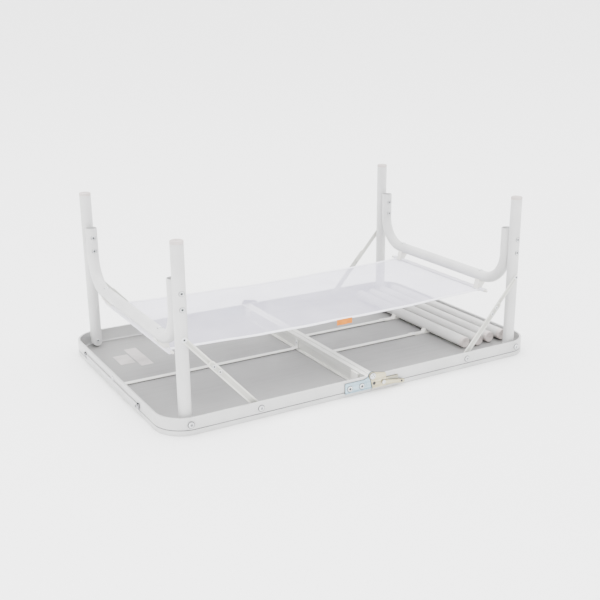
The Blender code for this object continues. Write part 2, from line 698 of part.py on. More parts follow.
def make_shelf():
    low, high = SHELF_HEIGHT - SHELF_THICKNESS / 2, SHELF_HEIGHT + SHELF_THICKNESS / 2
    outline = [(-SHELF_END, low), (SHELF_END, low), (SHELF_END, high), (-SHELF_END, high)]
    return plate("mesh_shelf", outline, -SHELF_WIDTH / 2, SHELF_WIDTH / 2, "white_mesh")


def make_handle():
    """A grip that hangs flat against the rim's left end and swings out about its upper edge."""
    half = HANDLE_LENGTH / 2
    radius = HANDLE_WIDTH / 2
    middle = HANDLE_BOTTOM + radius
    quarter = math.pi / 2
    outline = arc((half - radius, middle), radius, -quarter, quarter, ARC_STEPS)
    outline += arc((radius - half, middle), radius, quarter, 3 * quarter, ARC_STEPS)
    face = -HALF_LENGTH - GAP
    rings = []
    for x in (face, face - HANDLE_THICKNESS):
        rings.append([(x, HANDLE_OFFSET + y, z) for y, z in outline])
    origin = (face, HANDLE_OFFSET, HANDLE_BOTTOM + HANDLE_WIDTH)
    return make_object("carry_handle", *capped_rings(rings), "handle_plastic", origin)


def make_half(side, sign, holes):
    rim = make_rim(side, sign)
    make_panel(side, sign)
    make_rail(side, sign)
    for kind in ("leg", "stay"):
        add_boolean(rim, "DIFFERENCE", holes[side, kind])
    for end, direction in (("front", -1), ("back", 1)):
        make_leg_rivet(f"{side}_leg_rivet_{end}", sign * LEG_X, direction)
        make_stay_rivet(f"{side}_stay_rivet_{end}", sign * STAY_FOOT_X, direction)
        leg = make_leg(f"{side}_leg_{end}", sign * LEG_X, direction * LEG_Y)
        add_boolean(leg, "DIFFERENCE", holes[side, "leg"])
        make_leg_cap(f"{side}_leg_cap_{end}", sign * LEG_X, direction * LEG_Y)
        lower = make_stay(side, sign, end, direction)
        add_boolean(lower, "DIFFERENCE", holes[side, "stay"])
    make_leg_bar(f"{side}_leg_bar", sign * LEG_X)
    make_shelf_rod(side, sign)


def main():
    clear_scene()
    holes = make_holes()
    make_half("left", -1, holes)
    make_half("right", 1, holes)
    rim_inside = HALF_LENGTH - WALL_INNER - GAP
    make_rib("left_rib", -1, 0, rim_inside, True)
    make_rib("right_rib_front", 1, -RIGHT_RIB_OFFSET, CLIP_START - GAP, False)
    make_rib("right_rib_back", 1, RIGHT_RIB_OFFSET, CLIP_START - GAP, False)
    make_tube_clip("tube_clip_front", -RIGHT_RIB_OFFSET)
    make_tube_clip("tube_clip_back", RIGHT_RIB_OFFSET)
    make_hinges()
    for number in range(4):
        make_extension(number)
    make_shelf()
    make_handle()


main()
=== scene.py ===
# Looks for a folding camp table that lies on its top:
# materials, finer surfaces, the mesh shelf, light and camera.
import json
import math

import bmesh
import bpy
import numpy as np
from mathutils import Matrix, Vector


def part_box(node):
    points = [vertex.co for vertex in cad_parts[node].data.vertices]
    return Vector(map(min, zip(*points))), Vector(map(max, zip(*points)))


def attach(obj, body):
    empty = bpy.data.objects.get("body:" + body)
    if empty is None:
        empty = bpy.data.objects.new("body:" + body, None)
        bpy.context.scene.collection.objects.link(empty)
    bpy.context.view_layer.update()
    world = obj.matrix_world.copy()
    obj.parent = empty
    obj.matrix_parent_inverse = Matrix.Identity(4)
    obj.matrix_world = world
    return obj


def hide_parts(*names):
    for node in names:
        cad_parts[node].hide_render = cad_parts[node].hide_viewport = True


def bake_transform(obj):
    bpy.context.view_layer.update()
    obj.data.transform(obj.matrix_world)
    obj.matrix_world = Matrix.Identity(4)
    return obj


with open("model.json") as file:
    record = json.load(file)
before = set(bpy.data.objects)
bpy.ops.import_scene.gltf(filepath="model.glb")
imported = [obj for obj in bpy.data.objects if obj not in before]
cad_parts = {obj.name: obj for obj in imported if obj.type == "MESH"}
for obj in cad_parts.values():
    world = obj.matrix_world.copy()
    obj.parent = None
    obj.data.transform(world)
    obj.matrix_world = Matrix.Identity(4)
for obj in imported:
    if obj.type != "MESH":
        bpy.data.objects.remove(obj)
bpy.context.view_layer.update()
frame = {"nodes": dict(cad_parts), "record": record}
print("frame loaded:", len(frame["nodes"]), "nodes")

sides = (("left", -1), ("right", 1))  # X signs
ends = (("front", -1), ("back", 1))  # Y signs


def boxOf(node):
    low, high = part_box(node)
    return np.array(low, float), np.array(high, float)


def middleOf(node):
    low, high = boxOf(node)
    return (low + high) / 2


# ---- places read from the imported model
legCentre = middleOf("right_leg_front")
legX, legY = abs(legCentre[0]), abs(legCentre[1])
tubeRadius = (boxOf("right_leg_front")[1] - boxOf("right_leg_front")[0])[0] / 2
barLow, barHigh = boxOf("right_leg_bar")
barY = barHigh[1] - tubeRadius
rimHigh = boxOf("right_rim")[1]
halfLength, halfWidth, rimHeight = rimHigh
jointPlace = {joint["name"]: joint.get("pos_m") for joint in frame["record"]["behaviour"]["joints"]}
pivotHeight = jointPlace["right_legs_fold"][2]
foldHeight = jointPlace["table_fold"][2]
stayFootX = abs(jointPlace["right_lower_stay_front_turn"][0])
stayTopHeight = jointPlace["right_upper_stay_front_turn"][2]


# ---- surfaces: each helper gives (points, [faces of one size, ...]) for makePiece
def gridFaces(rows, columns, closeRows=False, closeColumns=False):
    # quads between neighbours of a rows by columns grid of points, wrapped round where asked
    i, j = np.meshgrid(
        np.arange(rows if closeRows else rows - 1), np.arange(columns if closeColumns else columns - 1),
            indexing="ij"
    )
    below, beside = (i + 1) % rows, (j + 1) % columns
    corners = [i * columns + j, below * columns + j, below * columns + beside, i * columns + beside]
    return np.stack(corners, -1).reshape(-1, 4)


def capFaces(rows, columns):
    # one many-sided face over the first row of points, and one over the last
    first = np.arange(columns)
    return np.stack([first[::-1], first + (rows - 1) * columns])


def arcPoints(centre, radius, start, end, steps):
    # centre + radius * (cos a, sin a), with a running evenly from start to end, in degrees
    a = np.radians(np.linspace(start, end, steps + 1))
    return np.array(centre) + radius * np.stack([np.cos(a), np.sin(a)], -1)


def turned(profile, base, axis, around=32):
    # point(h, r, a) = base + h * axis + r * (cos a * u + sin a * v), with u and v square to the axis
    axis = np.array(axis, float)
    u = np.cross(axis, [0, 0, 1] if abs(axis[2]) < 0.9 else [1, 0, 0])
    u /= np.linalg.norm(u)
    v = np.cross(axis, u)
    h, r = np.array(profile, float).T
    a = np.linspace(0, 2 * math.pi, around, endpoint=False)
    ring = np.cos(a)[:, None] * u + np.sin(a)[:, None] * v
    points = np.array(base) + h[:, None, None] * axis + r[:, None, None] * ring
    return points.reshape(-1, 3), [gridFaces(len(h), around, closeColumns=True)]


def pipe(path, profile, up, around=40):
    # a ring round each point of the path, square to its tangent; profile gives (index on the path, radius)
    path = np.array(path, float)
    tangent = np.gradient(path, axis=0)
    tangent /= np.linalg.norm(tangent, axis=1)[:, None]
    u = np.broadcast_to(np.array(up, float), path.shape)
    v = np.cross(tangent, u)
    at, radius = np.array(profile, float).T
    at = at.astype(int)
    a = np.linspace(0, 2 * math.pi, around, endpoint=False)
    ring = np.cos(a)[None, :, None] * u[at][:, None] + np.sin(a)[None, :, None] * v[at][:, None]
    points = path[at][:, None] + radius[:, None, None] * ring
    return points.reshape(-1, 3), [gridFaces(len(at), around, closeColumns=True)]


def slab(outline, profile, low, direction):
    # outline in X and Z, drawn once for each (inset, depth) of the profile; Y = low + direction * depth
    outline = np.array(outline, float)
    before, after = np.roll(outline, 1, axis=0), np.roll(outline, -1, axis=0)
    a, b = outline - before, after - outline
    a /= np.linalg.norm(a, axis=1)[:, None]
    b /= np.linalg.norm(b, axis=1)[:, None]
    area = np.sum(outline[:, 0] * after[:, 1] - after[:, 0] * outline[:, 1])
    inward = np.stack([-(a + b)[:, 1], (a + b)[:, 0]], -1) * np.sign(area)
    inward /= np.maximum(np.sum(inward * inward, axis=1) / 2, 0.4)[:, None]
    inset, depth = np.array(profile, float).T
    flat = outline + inset[:, None, None] * inward
    y = np.broadcast_to((low + direction * depth)[:, None], flat.shape[:2])
    points = np.stack([flat[..., 0], y, flat[..., 1]], -1).reshape(-1, 3)
    return points, [gridFaces(len(inset), len(outline), closeColumns=True),
        capFaces(len(inset), len(outline))]


def stadium(start, end, radius, steps=10):
    # the outline of a strip with round ends about two points in X and Z
    turn = math.degrees(math.atan2(end[1] - start[1], end[0] - start[0]))
    first = arcPoints(start, radius, turn + 90, turn + 270, steps)
    return np.concatenate([first, arcPoints(end, radius, turn - 90, turn + 90, steps)])


def carried(section, path):
    # a closed section (in from the path, Z) carried along a path in the XY plane, square to it
    path, section = np.array(path, float), np.array(section, float)
    tangent = np.gradient(path, axis=0)
    tangent /= np.linalg.norm(tangent, axis=1)[:, None]
    inward = np.stack([-tangent[:, 1], tangent[:, 0]], -1)
    xy = path[:, None] + section[None, :, :1] * inward[:, None]
    z = np.broadcast_to(section[:, 1], xy.shape[:2])
    points = np.concatenate([xy, z[..., None]], -1).reshape(-1, 3)
    return points, [gridFaces(*xy.shape[:2], closeColumns=True), capFaces(*xy.shape[:2])]


def roundedBlock(low, high, edge, steps=3):
    # slab() of a rounded rectangle in X and Z, from low to high, with every edge eased
    (x0, y0, z0), (x1, y1, z1) = low, high
    corners = ((x1, z0, -90), (x1, z1, 0), (x0, z1, 90), (x0, z0, 180))
    outline = []
    for x, z, start in corners:
        centre = (x - edge if x == x1 else x + edge, z - edge if z == z1 else z + edge)
        outline.append(arcPoints(centre, edge, start, start + 90, steps))
    deep = y1 - y0
    return slab(np.concatenate(outline), [(edge, 0), (0, edge), (0, deep - edge), (edge, deep)], y0, 1)


def makePiece(name, parts, materials, body, stands=(), sharp=35, closed=True):
    # joins the parts into one mesh at the origin; a part may carry the number of its material
    mesh = bpy.data.meshes.new(name)
    points, faces, marks, start = [], [], [], 0
    for part in parts:
        cloud, groups = part[:2]
        for group in groups:
            faces += (group + start).tolist()
            marks += [part[2] if len(part) > 2 else 0] * len(group)
        points.append(cloud)
        start += len(cloud)
    mesh.from_pydata(np.concatenate(points), [], faces)
    mesh.polygons.foreach_set("material_index", marks)
    work = bmesh.new()
    work.from_mesh(mesh)
    bmesh.ops.remove_doubles(work, verts=work.verts, dist=1e-6)
    if closed:
        bmesh.ops.recalc_face_normals(work, faces=work.faces)
    work.to_mesh(mesh)
    work.free()
    mesh.shade_smooth()
    mesh.set_sharp_from_angle(angle=math.radians(sharp))
    for material in materials:
        mesh.materials.append(material)
    piece = bpy.data.objects.new(name, mesh)
    bpy.context.collection.objects.link(piece)
    if body:
        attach(piece, body)
    if stands:
        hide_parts(*stands)
    return piece


# ---- shared material effects, as node groups that put out masks, heights and roughness
def newGroup(name, inputs, outputs):
    group = bpy.data.node_groups.new(name, "ShaderNodeTree")
    for label, kind, value in inputs:
        socket = group.interface.new_socket(name=label, in_out="INPUT", socket_type=kind)
        if value is not None:
            socket.default_value = value
    for label, kind in outputs:
        group.interface.new_socket(name=label, in_out="OUTPUT", socket_type=kind)
    return group, group.nodes.new("NodeGroupInput"), group.nodes.new("NodeGroupOutput")


def addNode(tree, kind, values=(), **settings):
    node = tree.nodes.new(kind)
    for key, value in settings.items():
        setattr(node, key, value)
    for key, value in dict(values).items():
        if isinstance(value, bpy.types.NodeSocket):
            tree.links.new(value, node.inputs[key])
        else:
            node.inputs[key].default_value = value
    return node


def mathNode(tree, operation, first, second=0.0):
    return addNode(tree, "ShaderNodeMath", {0: first, 1: second}, operation=operation).outputs[0]


def mapRange(tree, value, fromLow, fromHigh, toLow, toHigh):
    sockets = {"Value": value, "From Min": fromLow, "From Max": fromHigh, "To Min": toLow,
        "To Max": toHigh}
    return addNode(tree, "ShaderNodeMapRange", sockets).outputs["Result"]


floatSocket, vectorSocket = "NodeSocketFloat", "NodeSocketVector"


def coatGroup():
    # powder coat: fine orange peel, with slow clouds of slightly different gloss and tone
    group, given, out = newGroup(
        "powderCoat",
        [("Vector", vectorSocket, None), ("Grain", floatSocket, 900.0), ("Clouds", floatSocket, 14.0)],
        [("Height", floatSocket), ("Tone", floatSocket)],
    )
    fine = addNode(
        group, "ShaderNodeTexNoise", {"Vector": given.outputs["Vector"], "Scale": given.outputs["Grain"],
            "Detail": 2.0}
    )
    slow = addNode(
        group, "ShaderNodeTexNoise", {"Vector": given.outputs["Vector"],
            "Scale": given.outputs["Clouds"], "Detail": 3.0}
    )
    group.links.new(fine.outputs[0], out.inputs["Height"])
    group.links.new(mapRange(group, slow.outputs[0], 0.3, 0.7, 0.0, 1.0), out.inputs["Tone"])
    return group


def brushGroup():
    # brushed metal: noise drawn out along one axis by the Stretch vector, as height and tone
    group, given, out = newGroup(
        "brushedMetal",
        [("Vector", vectorSocket, None), ("Stretch", vectorSocket, (1.0, 1.0, 1.0))],
        [("Height", floatSocket), ("Tone", floatSocket)],
    )
    drawn = addNode(
        group, "ShaderNodeVectorMath", {0: given.outputs["Vector"], 1: given.outputs["Stretch"]},
            operation="MULTIPLY"
    )
    lines = addNode(group, "ShaderNodeTexNoise", {"Vector": drawn.outputs[0], "Scale": 1.0,
        "Detail": 4.0})
    group.links.new(lines.outputs[0], out.inputs["Height"])
    group.links.new(mapRange(group, lines.outputs[0], 0.35, 0.65, 0.0, 1.0), out.inputs["Tone"])
    return group


def scuffGroup():
    # handling marks: thin curved scratches inside patches, as a mask
    group, given, out = newGroup(
        "handlingMarks",
        [("Vector", vectorSocket, None), ("Size", floatSocket, 30.0), ("Amount", floatSocket, 0.3)],
        [("Mask", floatSocket)],
    )
    patch = addNode(
        group, "ShaderNodeTexNoise", {"Vector": given.outputs["Vector"], "Scale": given.outputs["Size"],
            "Detail": 2.0}
    )
    thin = addNode(
        group,
        "ShaderNodeTexNoise",
        {"Vector": given.outputs["Vector"], "Scale": mathNode(group, "MULTIPLY", given.outputs["Size"],
        9.0), "Distortion": 1.5},
    )
    where = mapRange(group, patch.outputs[0], 0.52, 0.7, 0.0, 1.0)
    line = mapRange(group, mathNode(group, "ABSOLUTE",
        mathNode(group, "SUBTRACT", thin.outputs[0], 0.5)), 0.0, 0.02, 1.0, 0.0)
    mask = mathNode(group, "MULTIPLY", mathNode(group, "MULTIPLY", where, line), given.outputs["Amount"])
    group.links.new(mask, out.inputs["Mask"])
    return group


def weaveGroup():
    # threads in two directions: sin^2 ridges along each axis, and the holes left between them
    group, given, out = newGroup(
        "openWeave",
        [("Vector", vectorSocket, None), ("Threads", floatSocket, 600.0), ("Openness", floatSocket, 0.5)],
        [("Height", floatSocket), ("Cover", floatSocket)],
    )
    split = addNode(group, "ShaderNodeSeparateXYZ", {0: given.outputs["Vector"]})
    ridges = []
    for axis in ("X", "Y"):
        turn = mathNode(group, "MULTIPLY", split.outputs[axis], given.outputs["Threads"])
        ridges.append(mathNode(group, "POWER", mathNode(group, "ABSOLUTE",
            mathNode(group, "SINE", turn)), 1.5))
    top = mathNode(group, "MAXIMUM", ridges[0], ridges[1])
    group.links.new(top, out.inputs["Height"])
    group.links.new(mapRange(group, top, given.outputs["Openness"], 0.95, 0.0, 1.0), out.inputs["Cover"])
    return group


effects = {"coat": coatGroup(), "brush": brushGroup(), "scuff": scuffGroup(), "weave": weaveGroup()}
print("material effects ready")


# ---- materials
class Finish:
    # one material, with its Principled shader and the coordinates its patterns read
    def __init__(self, name, colour, roughness, metallic=0.0, useUv=False, **sockets):
        self.material = bpy.data.materials.new(name)
        self.material.use_nodes = True
        self.tree = self.material.node_tree
        self.shader = self.tree.nodes["Principled BSDF"]
        self.shader.inputs["Base Color"].default_value = (*colour, 1)
        self.shader.inputs["Roughness"].default_value = roughness
        self.shader.inputs["Metallic"].default_value = metallic
        for label, value in sockets.items():
            self.shader.inputs[label.replace("_", " ")].default_value = value
        place = self.tree.nodes.new("ShaderNodeTexCoord")
        self.place = place.outputs["UV" if useUv else "Object"]

    def effect(self, name, **values):
        node = addNode(self.tree, "ShaderNodeGroup", node_tree=effects[name])
        for label, value in {"Vector": self.place, **values}.items():
            if isinstance(value, bpy.types.NodeSocket):
                self.tree.links.new(value, node.inputs[label])
            else:
                node.inputs[label].default_value = value
        return node.outputs

    def mix(self, mask, first, second):
        mixer = addNode(self.tree, "ShaderNodeMix", {"Factor": mask}, data_type="RGBA")
        for number, colour in ((6, first), (7, second)):
            if isinstance(colour, bpy.types.NodeSocket):
                self.tree.links.new(colour, mixer.inputs[number])
            else:
                mixer.inputs[number].default_value = (*colour, 1)
        return mixer.outputs[2]

    def paint(self, colour):
        self.tree.links.new(colour, self.shader.inputs["Base Color"])

    def gloss(self, mask, low, high):
        self.tree.links.new(mapRange(self.tree, mask, 0.0, 1.0, low, high),
            self.shader.inputs["Roughness"])

    def bump(self, height, distance, strength=0.6):
        node = addNode(self.tree, "ShaderNodeBump",
            {"Height": height, "Distance": distance, "Strength": strength})
        self.tree.links.new(node.outputs[0], self.shader.inputs["Normal"])


def coated(name, light, dark, roughness, bump=0.00008, marks=0.25, metallic=0.0):
    # a coated surface: two near tones in clouds, faint handling marks, orange peel
    finish = Finish(name, light, roughness, metallic)
    coat = finish.effect("coat")
    scuff = finish.effect("scuff", Size=26.0, Amount=marks)
    base = finish.mix(coat["Tone"], light, dark)
    finish.paint(finish.mix(scuff["Mask"], base, tuple(0.62 * value for value in dark)))
    finish.gloss(coat["Tone"], roughness, roughness + 0.12)
    finish.bump(coat["Height"], bump)
    return finish.material


def plated(name, light, dark, roughness, stretch, bump=0.00005):
    # bare or plated metal: drawn-out grain in two tones, with scuffs
    finish = Finish(name, light, roughness, 1.0)
    brush = finish.effect("brush", Stretch=stretch)
    scuff = finish.effect("scuff", Size=60.0, Amount=0.35)
    base = finish.mix(brush["Tone"], light, dark)
    finish.paint(finish.mix(scuff["Mask"], base, tuple(0.5 * value for value in dark)))
    finish.gloss(brush["Tone"], roughness, roughness + 0.15)
    finish.bump(brush["Height"], bump)
    return finish.material


def moulded(name, light, dark, roughness):
    # moulded plastic: a very fine grain and slow change of tone
    finish = Finish(name, light, roughness)
    coat = finish.effect("coat", Grain=1800.0, Clouds=30.0)
    finish.paint(finish.mix(coat["Tone"], light, dark))
    finish.gloss(coat["Tone"], roughness, roughness + 0.1)
    finish.bump(coat["Height"], 0.00005)
    return finish.material


def panelSheet():
    # grey coated board: fine pebble, long faint roller lines and a few scuffs
    tones = {"light": (0.212, 0.210, 0.207), "dark": (0.180, 0.178, 0.176),
        "scuff": (0.135, 0.133, 0.131)}
    finish = Finish("panelSheet", tones["light"], 0.42)
    coat = finish.effect("coat", Grain=1400.0, Clouds=7.0)
    brush = finish.effect("brush", Stretch=(4.0, 260.0, 260.0))
    scuff = finish.effect("scuff", Size=18.0, Amount=0.35)
    base = finish.mix(mathNode(finish.tree, "MULTIPLY", brush["Tone"], coat["Tone"]), tones["light"],
        tones["dark"])
    finish.paint(finish.mix(scuff["Mask"], base, tones["scuff"]))
    finish.gloss(coat["Tone"], 0.38, 0.52)
    finish.bump(coat["Height"], 0.00006)
    return finish.material


def shelfMesh():
    # sheer white mesh: a fine weave whose holes let the things behind show through
    look = {"thread": (0.61, 0.59, 0.71), "shade": (0.50, 0.485, 0.60), "threads": 2100.0, "solid": 0.72,
        "hole": 0.34}
    finish = Finish("shelfMesh", look["thread"], 0.75, useUv=True)
    weave = finish.effect("weave", Threads=look["threads"], Openness=0.2)
    coat = finish.effect("coat", Grain=120.0, Clouds=9.0)
    finish.paint(finish.mix(coat["Tone"], look["thread"], look["shade"]))
    alpha = mapRange(finish.tree, weave["Cover"], 0.0, 1.0, look["hole"], look["solid"])
    finish.tree.links.new(alpha, finish.shader.inputs["Alpha"])
    finish.bump(weave["Height"], 0.0002, 0.4)
    return finish.material


def tape(name, light, dark, scale):
    # woven tape: close weave across the strip
    finish = Finish(name, light, 0.8)
    weave = finish.effect("weave", Threads=scale, Openness=0.1)
    finish.paint(finish.mix(weave["Cover"], dark, light))
    finish.bump(weave["Height"], 0.0002, 0.5)
    return finish.material


whiteCoat = coated("whiteCoat", (0.54, 0.54, 0.537), (0.48, 0.48, 0.477), 0.34)
rimCoat = coated("rimCoat", (0.53, 0.53, 0.527), (0.465, 0.465, 0.462), 0.30, metallic=0.2)
stayCoat = coated("stayCoat", (0.60, 0.60, 0.56), (0.54, 0.54, 0.50), 0.4)
# painted shade: a darker copy of stayCoat for the stays' pressed middles
stayShade = coated("stayShade", (0.44, 0.44, 0.405), (0.38, 0.38, 0.345), 0.45)
tubeCoat = coated("storedTubeCoat", (0.52, 0.515, 0.50), (0.46, 0.455, 0.44), 0.4)
ribPlastic = moulded("ribWhite", (0.68, 0.68, 0.65), (0.62, 0.615, 0.59), 0.45)
clipPlastic = moulded("clipPlastic", (0.70, 0.69, 0.65), (0.63, 0.615, 0.57), 0.5)
capPlastic = moulded("capPlastic", (0.52, 0.465, 0.45), (0.45, 0.40, 0.385), 0.5)
gripPlastic = moulded("gripPlastic", (0.52, 0.52, 0.525), (0.45, 0.45, 0.455), 0.5)
# painted shadow: the near-black strip under each rib
paintedShadowStrip = moulded("paintedShadowStrip", (0.045, 0.04, 0.035), (0.03, 0.028, 0.025), 0.8)
# painted shade: the dark grey strip at the bottom of the rims' groove
groovePaintedShade = moulded("groovePaintedShade", (0.16, 0.16, 0.165), (0.11, 0.11, 0.115), 0.7)
# near black: painted shade in hollows, holes and gaps and painted shadow round heads and plate edges; also
# the small black pins, knob and dots
blackAndPaintedShade = moulded("blackAndPaintedShade", (0.025, 0.025, 0.028), (0.015, 0.015, 0.017), 0.6)
railMetal = plated("railMetal", (0.74, 0.74, 0.71), (0.64, 0.64, 0.61), 0.42, (500.0, 5.0, 500.0))
zincBlue = plated("zincBlue", (0.37, 0.49, 0.56), (0.29, 0.40, 0.47), 0.34, (20.0, 300.0, 300.0))
zincYellow = plated("zincYellow", (0.52, 0.48, 0.34), (0.40, 0.36, 0.24), 0.36, (20.0, 300.0, 300.0))
# painted shade: the yellow zinc wedge under the lever, coloured dark olive as it looks in shade
wedgePaintedShade = moulded("wedgePaintedShade", (0.27, 0.265, 0.215), (0.20, 0.195, 0.155), 0.5)
zincGrey = plated("zincGrey", (0.32, 0.32, 0.335), (0.25, 0.25, 0.265), 0.36, (20.0, 300.0, 300.0))
rivetSteel = plated("rivetSteel", (0.68, 0.69, 0.70), (0.56, 0.57, 0.58), 0.28, (160.0, 160.0, 160.0))
rivetCore = plated("rivetCore", (0.34, 0.345, 0.35), (0.25, 0.255, 0.26), 0.4, (200.0, 200.0, 200.0))
meshFabric = shelfMesh()
hemTape = tape("hemTape", (0.78, 0.77, 0.82), (0.62, 0.61, 0.67), 1500.0)
tagFabric = tape("tagFabric", (0.62, 0.185, 0.0), (0.50, 0.13, 0.0), 2400.0)
labelPaper = moulded("labelPaper", (0.46, 0.43, 0.42), (0.37, 0.345, 0.34), 0.6)
print("materials ready")


def dress(node, material):
    # a kept CAD node gets its finish
    slots = frame["nodes"][node].material_slots if hasattr(frame["nodes"],
        "keys") else bpy.data.objects[node].material_slots
    for materialSlot in slots:
        materialSlot.material = material


for side, sign in sides:
    dress(f"{side}_panel", panelSheet() if side == "left" else bpy.data.materials["panelSheet"])
for end, direction in ends:
    dress(f"tube_clip_{end}", clipPlastic)


# ---- rims
rimLook = {"corner": 0.062, "bead": 0.0098, "groove": 0.0018, "grooveDepth": 0.0016, "setback": 0.0005,
    "wall": 0.0018,
           "lip": 0.005, "flange": 0.009, "lowFlange": 0.007, "sheet": 0.0016, "ease": 0.0009,
           "start": 0.0005, "flangeStart": 0.0118,
           "flangeLow": 0.0056, "flangeHigh": 0.0072, "panelGap": 0.0012, "cornerSteps": 24}


def rimSection(flanged):
    # the extrusion's outline, with its visible edges rounded; beside the fold it has no flanges
    k = rimLook
    ease, grooveTop = k["ease"], k["bead"] + k["groove"]
    lowEdge = arcPoints((ease, ease), ease, 270, 180, 4)
    beadEdge = arcPoints((0.0006, k["bead"] - 0.0006), 0.0006, 180, 90, 3)
    bandEdge = arcPoints((k["setback"] + 0.0006, grooveTop + 0.0006), 0.0006, 270, 180, 3)
    topEdge = arcPoints((k["setback"] + ease, rimHeight - ease), ease, 180, 90, 4)
    groove = [(k["grooveDepth"], k["bead"]), (k["grooveDepth"], grooveTop)]
    inside = k["setback"] + k["wall"]
    if not flanged:
        return np.concatenate([lowEdge, beadEdge, groove, bandEdge, topEdge,
            [(inside, rimHeight), (inside, 0)]])
    lipEdge = arcPoints((k["lip"] - 0.0005, rimHeight - 0.0005), 0.0005, 90, 0, 2)
    rest = [(k["lip"], rimHeight - k["sheet"]), (inside, rimHeight - k["sheet"]),
        (inside, k["flangeHigh"])]
    rest += [(k["flange"] - 0.0004, k["flangeHigh"]), (k["flange"], k["flangeHigh"] - 0.0004)]
    rest += [(k["flange"], k["flangeLow"]), (inside, k["flangeLow"]), (inside, k["panelGap"])]
    rest += [(k["lowFlange"], k["panelGap"]), (k["lowFlange"], 0)]
    return np.concatenate([lowEdge, beadEdge, groove, bandEdge, topEdge, lipEdge, rest])


def rimPath(sign):
    # from the fold along the front, round two corners and back
    k = rimLook
    x, y = halfLength - k["corner"], halfWidth - k["corner"]
    front = arcPoints((x, -y), k["corner"], -90, 0, k["cornerSteps"])
    back = arcPoints((x, y), k["corner"], 0, 90, k["cornerSteps"])
    ahead = [(k["flangeStart"], -halfWidth), (0.2, -halfWidth)]
    path = np.concatenate([ahead, front, back, [(0.2, halfWidth), (k["flangeStart"], halfWidth)]])
    return path if sign > 0 else (path * (-1, 1))[::-1]


def grooveShade(path):
    # painted shade for the groove: a thin dark strip that lies in its bottom
    k = rimLook
    low, high, deep = k["bead"], k["bead"] + k["groove"], k["grooveDepth"]
    return carried([(deep, low), (deep - 0.0003, low), (deep - 0.0003, high), (deep, high)], path)


for side, sign in sides:
    path = rimPath(sign)
    parts = [(*carried(rimSection(True), path), 0), (*grooveShade(path), 1)]
    for end, direction in ends:
        # points shared with the band would join the two
        x0, x1 = rimLook["start"] * sign, (rimLook["flangeStart"] - 0.00005) * sign
        wall = [(x0, direction * halfWidth), (x1, direction * halfWidth)]
        wall = wall if sign * direction < 0 else wall[::-1]
        parts += [(*carried(rimSection(False), wall), 0), (*grooveShade(wall), 1)]
    makePiece(f"{side}_rim_band", parts, [rimCoat, groovePaintedShade], f"{side}_half",
        [f"{side}_rim"], sharp=50)
print("rims done")

railLook = {"gap": 0.0005, "outer": 0.0115, "flange": 0.018, "round": 0.0022, "ease": 0.0006}


def railOutline(sign):
    # a box section with a wide round on its split edge, and the flange that laps over the panel
    k = railLook
    high = boxOf("right_rail")[1][2]
    split = arcPoints((k["gap"] + k["round"], high - k["round"]), k["round"], 180, 90, 6)
    edge = arcPoints((k["outer"] - k["ease"], high - k["ease"]), k["ease"], 90, 0, 3)
    low = [(k["outer"], rimLook["flangeHigh"]), (k["flange"] - 0.0004, rimLook["flangeHigh"])]
    low += [(k["flange"], rimLook["flangeHigh"] - 0.0004), (k["flange"], rimLook["flangeLow"]),
        (k["outer"], rimLook["flangeLow"])]
    low += [(k["outer"], 0.0), (k["gap"], 0.0)]
    return np.concatenate([split, edge, low]) * (sign, 1)


for side, sign in sides:
    low, high = boxOf(f"{side}_rail")
    # the rail ends behind the rim's wall, not level with its face
    inside = rimLook["setback"] + rimLook["wall"] + 0.0001
    rail = slab(railOutline(sign), [(0, 0), (0, high[1] - low[1] - 2 * inside)], low[1] + inside, 1)
    makePiece(f"{side}_fold_rail", [rail], [railMetal], f"{side}_half", [f"{side}_rail"])


# ---- legs, leg bars, caps and stored tubes
tubeLook = {"wall": 0.0012, "edge": 0.0005, "capGap": 0.0003, "capHeight": 0.006, "barBend": 0.070,
    "bendSteps": 18}
legTop = boxOf("right_leg_cap_front")[1][2]
capBase = legTop - tubeLook["capHeight"]


def legSurface(x, y):
    # a pipe whose lower end is rounded about the pivot: z = pivot - sqrt(r^2 - dx^2)
    k = tubeLook
    steps = [(0, tubeRadius - k["wall"]), (0, tubeRadius), (1, tubeRadius), (1, tubeRadius - k["wall"])]
    points, faces = pipe([(x, y, pivotHeight), (x, y, capBase - k["capGap"])], steps, (1, 0, 0))
    count = len(points) // len(steps)
    low = points[: 2 * count]
    low[:, 2] -= np.sqrt(np.maximum(tubeRadius**2 - (low[:, 0] - x) ** 2, 0))
    across = np.concatenate([np.arange(count), np.arange(3 * count, 4 * count)]).reshape(2, -1)
    faces.append(np.stack([across[0], np.roll(across[0], -1), np.roll(across[1], -1), across[1]], -1))
    return points, faces


def barPath(x):
    bend, flat = tubeLook["barBend"], barY - tubeLook["barBend"]
    low, top = barLow[2] + tubeRadius, barHigh[2]
    centre = low + bend
    left = arcPoints((-flat, centre), bend, 180, 270, tubeLook["bendSteps"])
    right = arcPoints((flat, centre), bend, 270, 360, tubeLook["bendSteps"])
    yz = np.concatenate([[(-barY, top), (-barY, top - 0.0012)], left, right,
        [(barY, top - 0.0012), (barY, top)]])
    return np.column_stack([np.full(len(yz), x), yz])


def capSurface(x, y):
    # a foot with an eased rim and a shallow dished middle
    plug = tubeRadius - tubeLook["wall"] - 0.0003
    profile = [(-0.010, 0), (-0.010, plug), (0, plug), (0, tubeRadius), (0.0045, tubeRadius),
        (0.0055, tubeRadius - 0.0004)]
    profile += [(0.006, tubeRadius - 0.0015), (0.006, 0.0085), (0.0052, 0.0080), (0.0052, 0.0030),
        (0.0047, 0.0026), (0.0047, 0)]
    return turned(profile, (x, y, capBase), (0, 0, 1), 40)


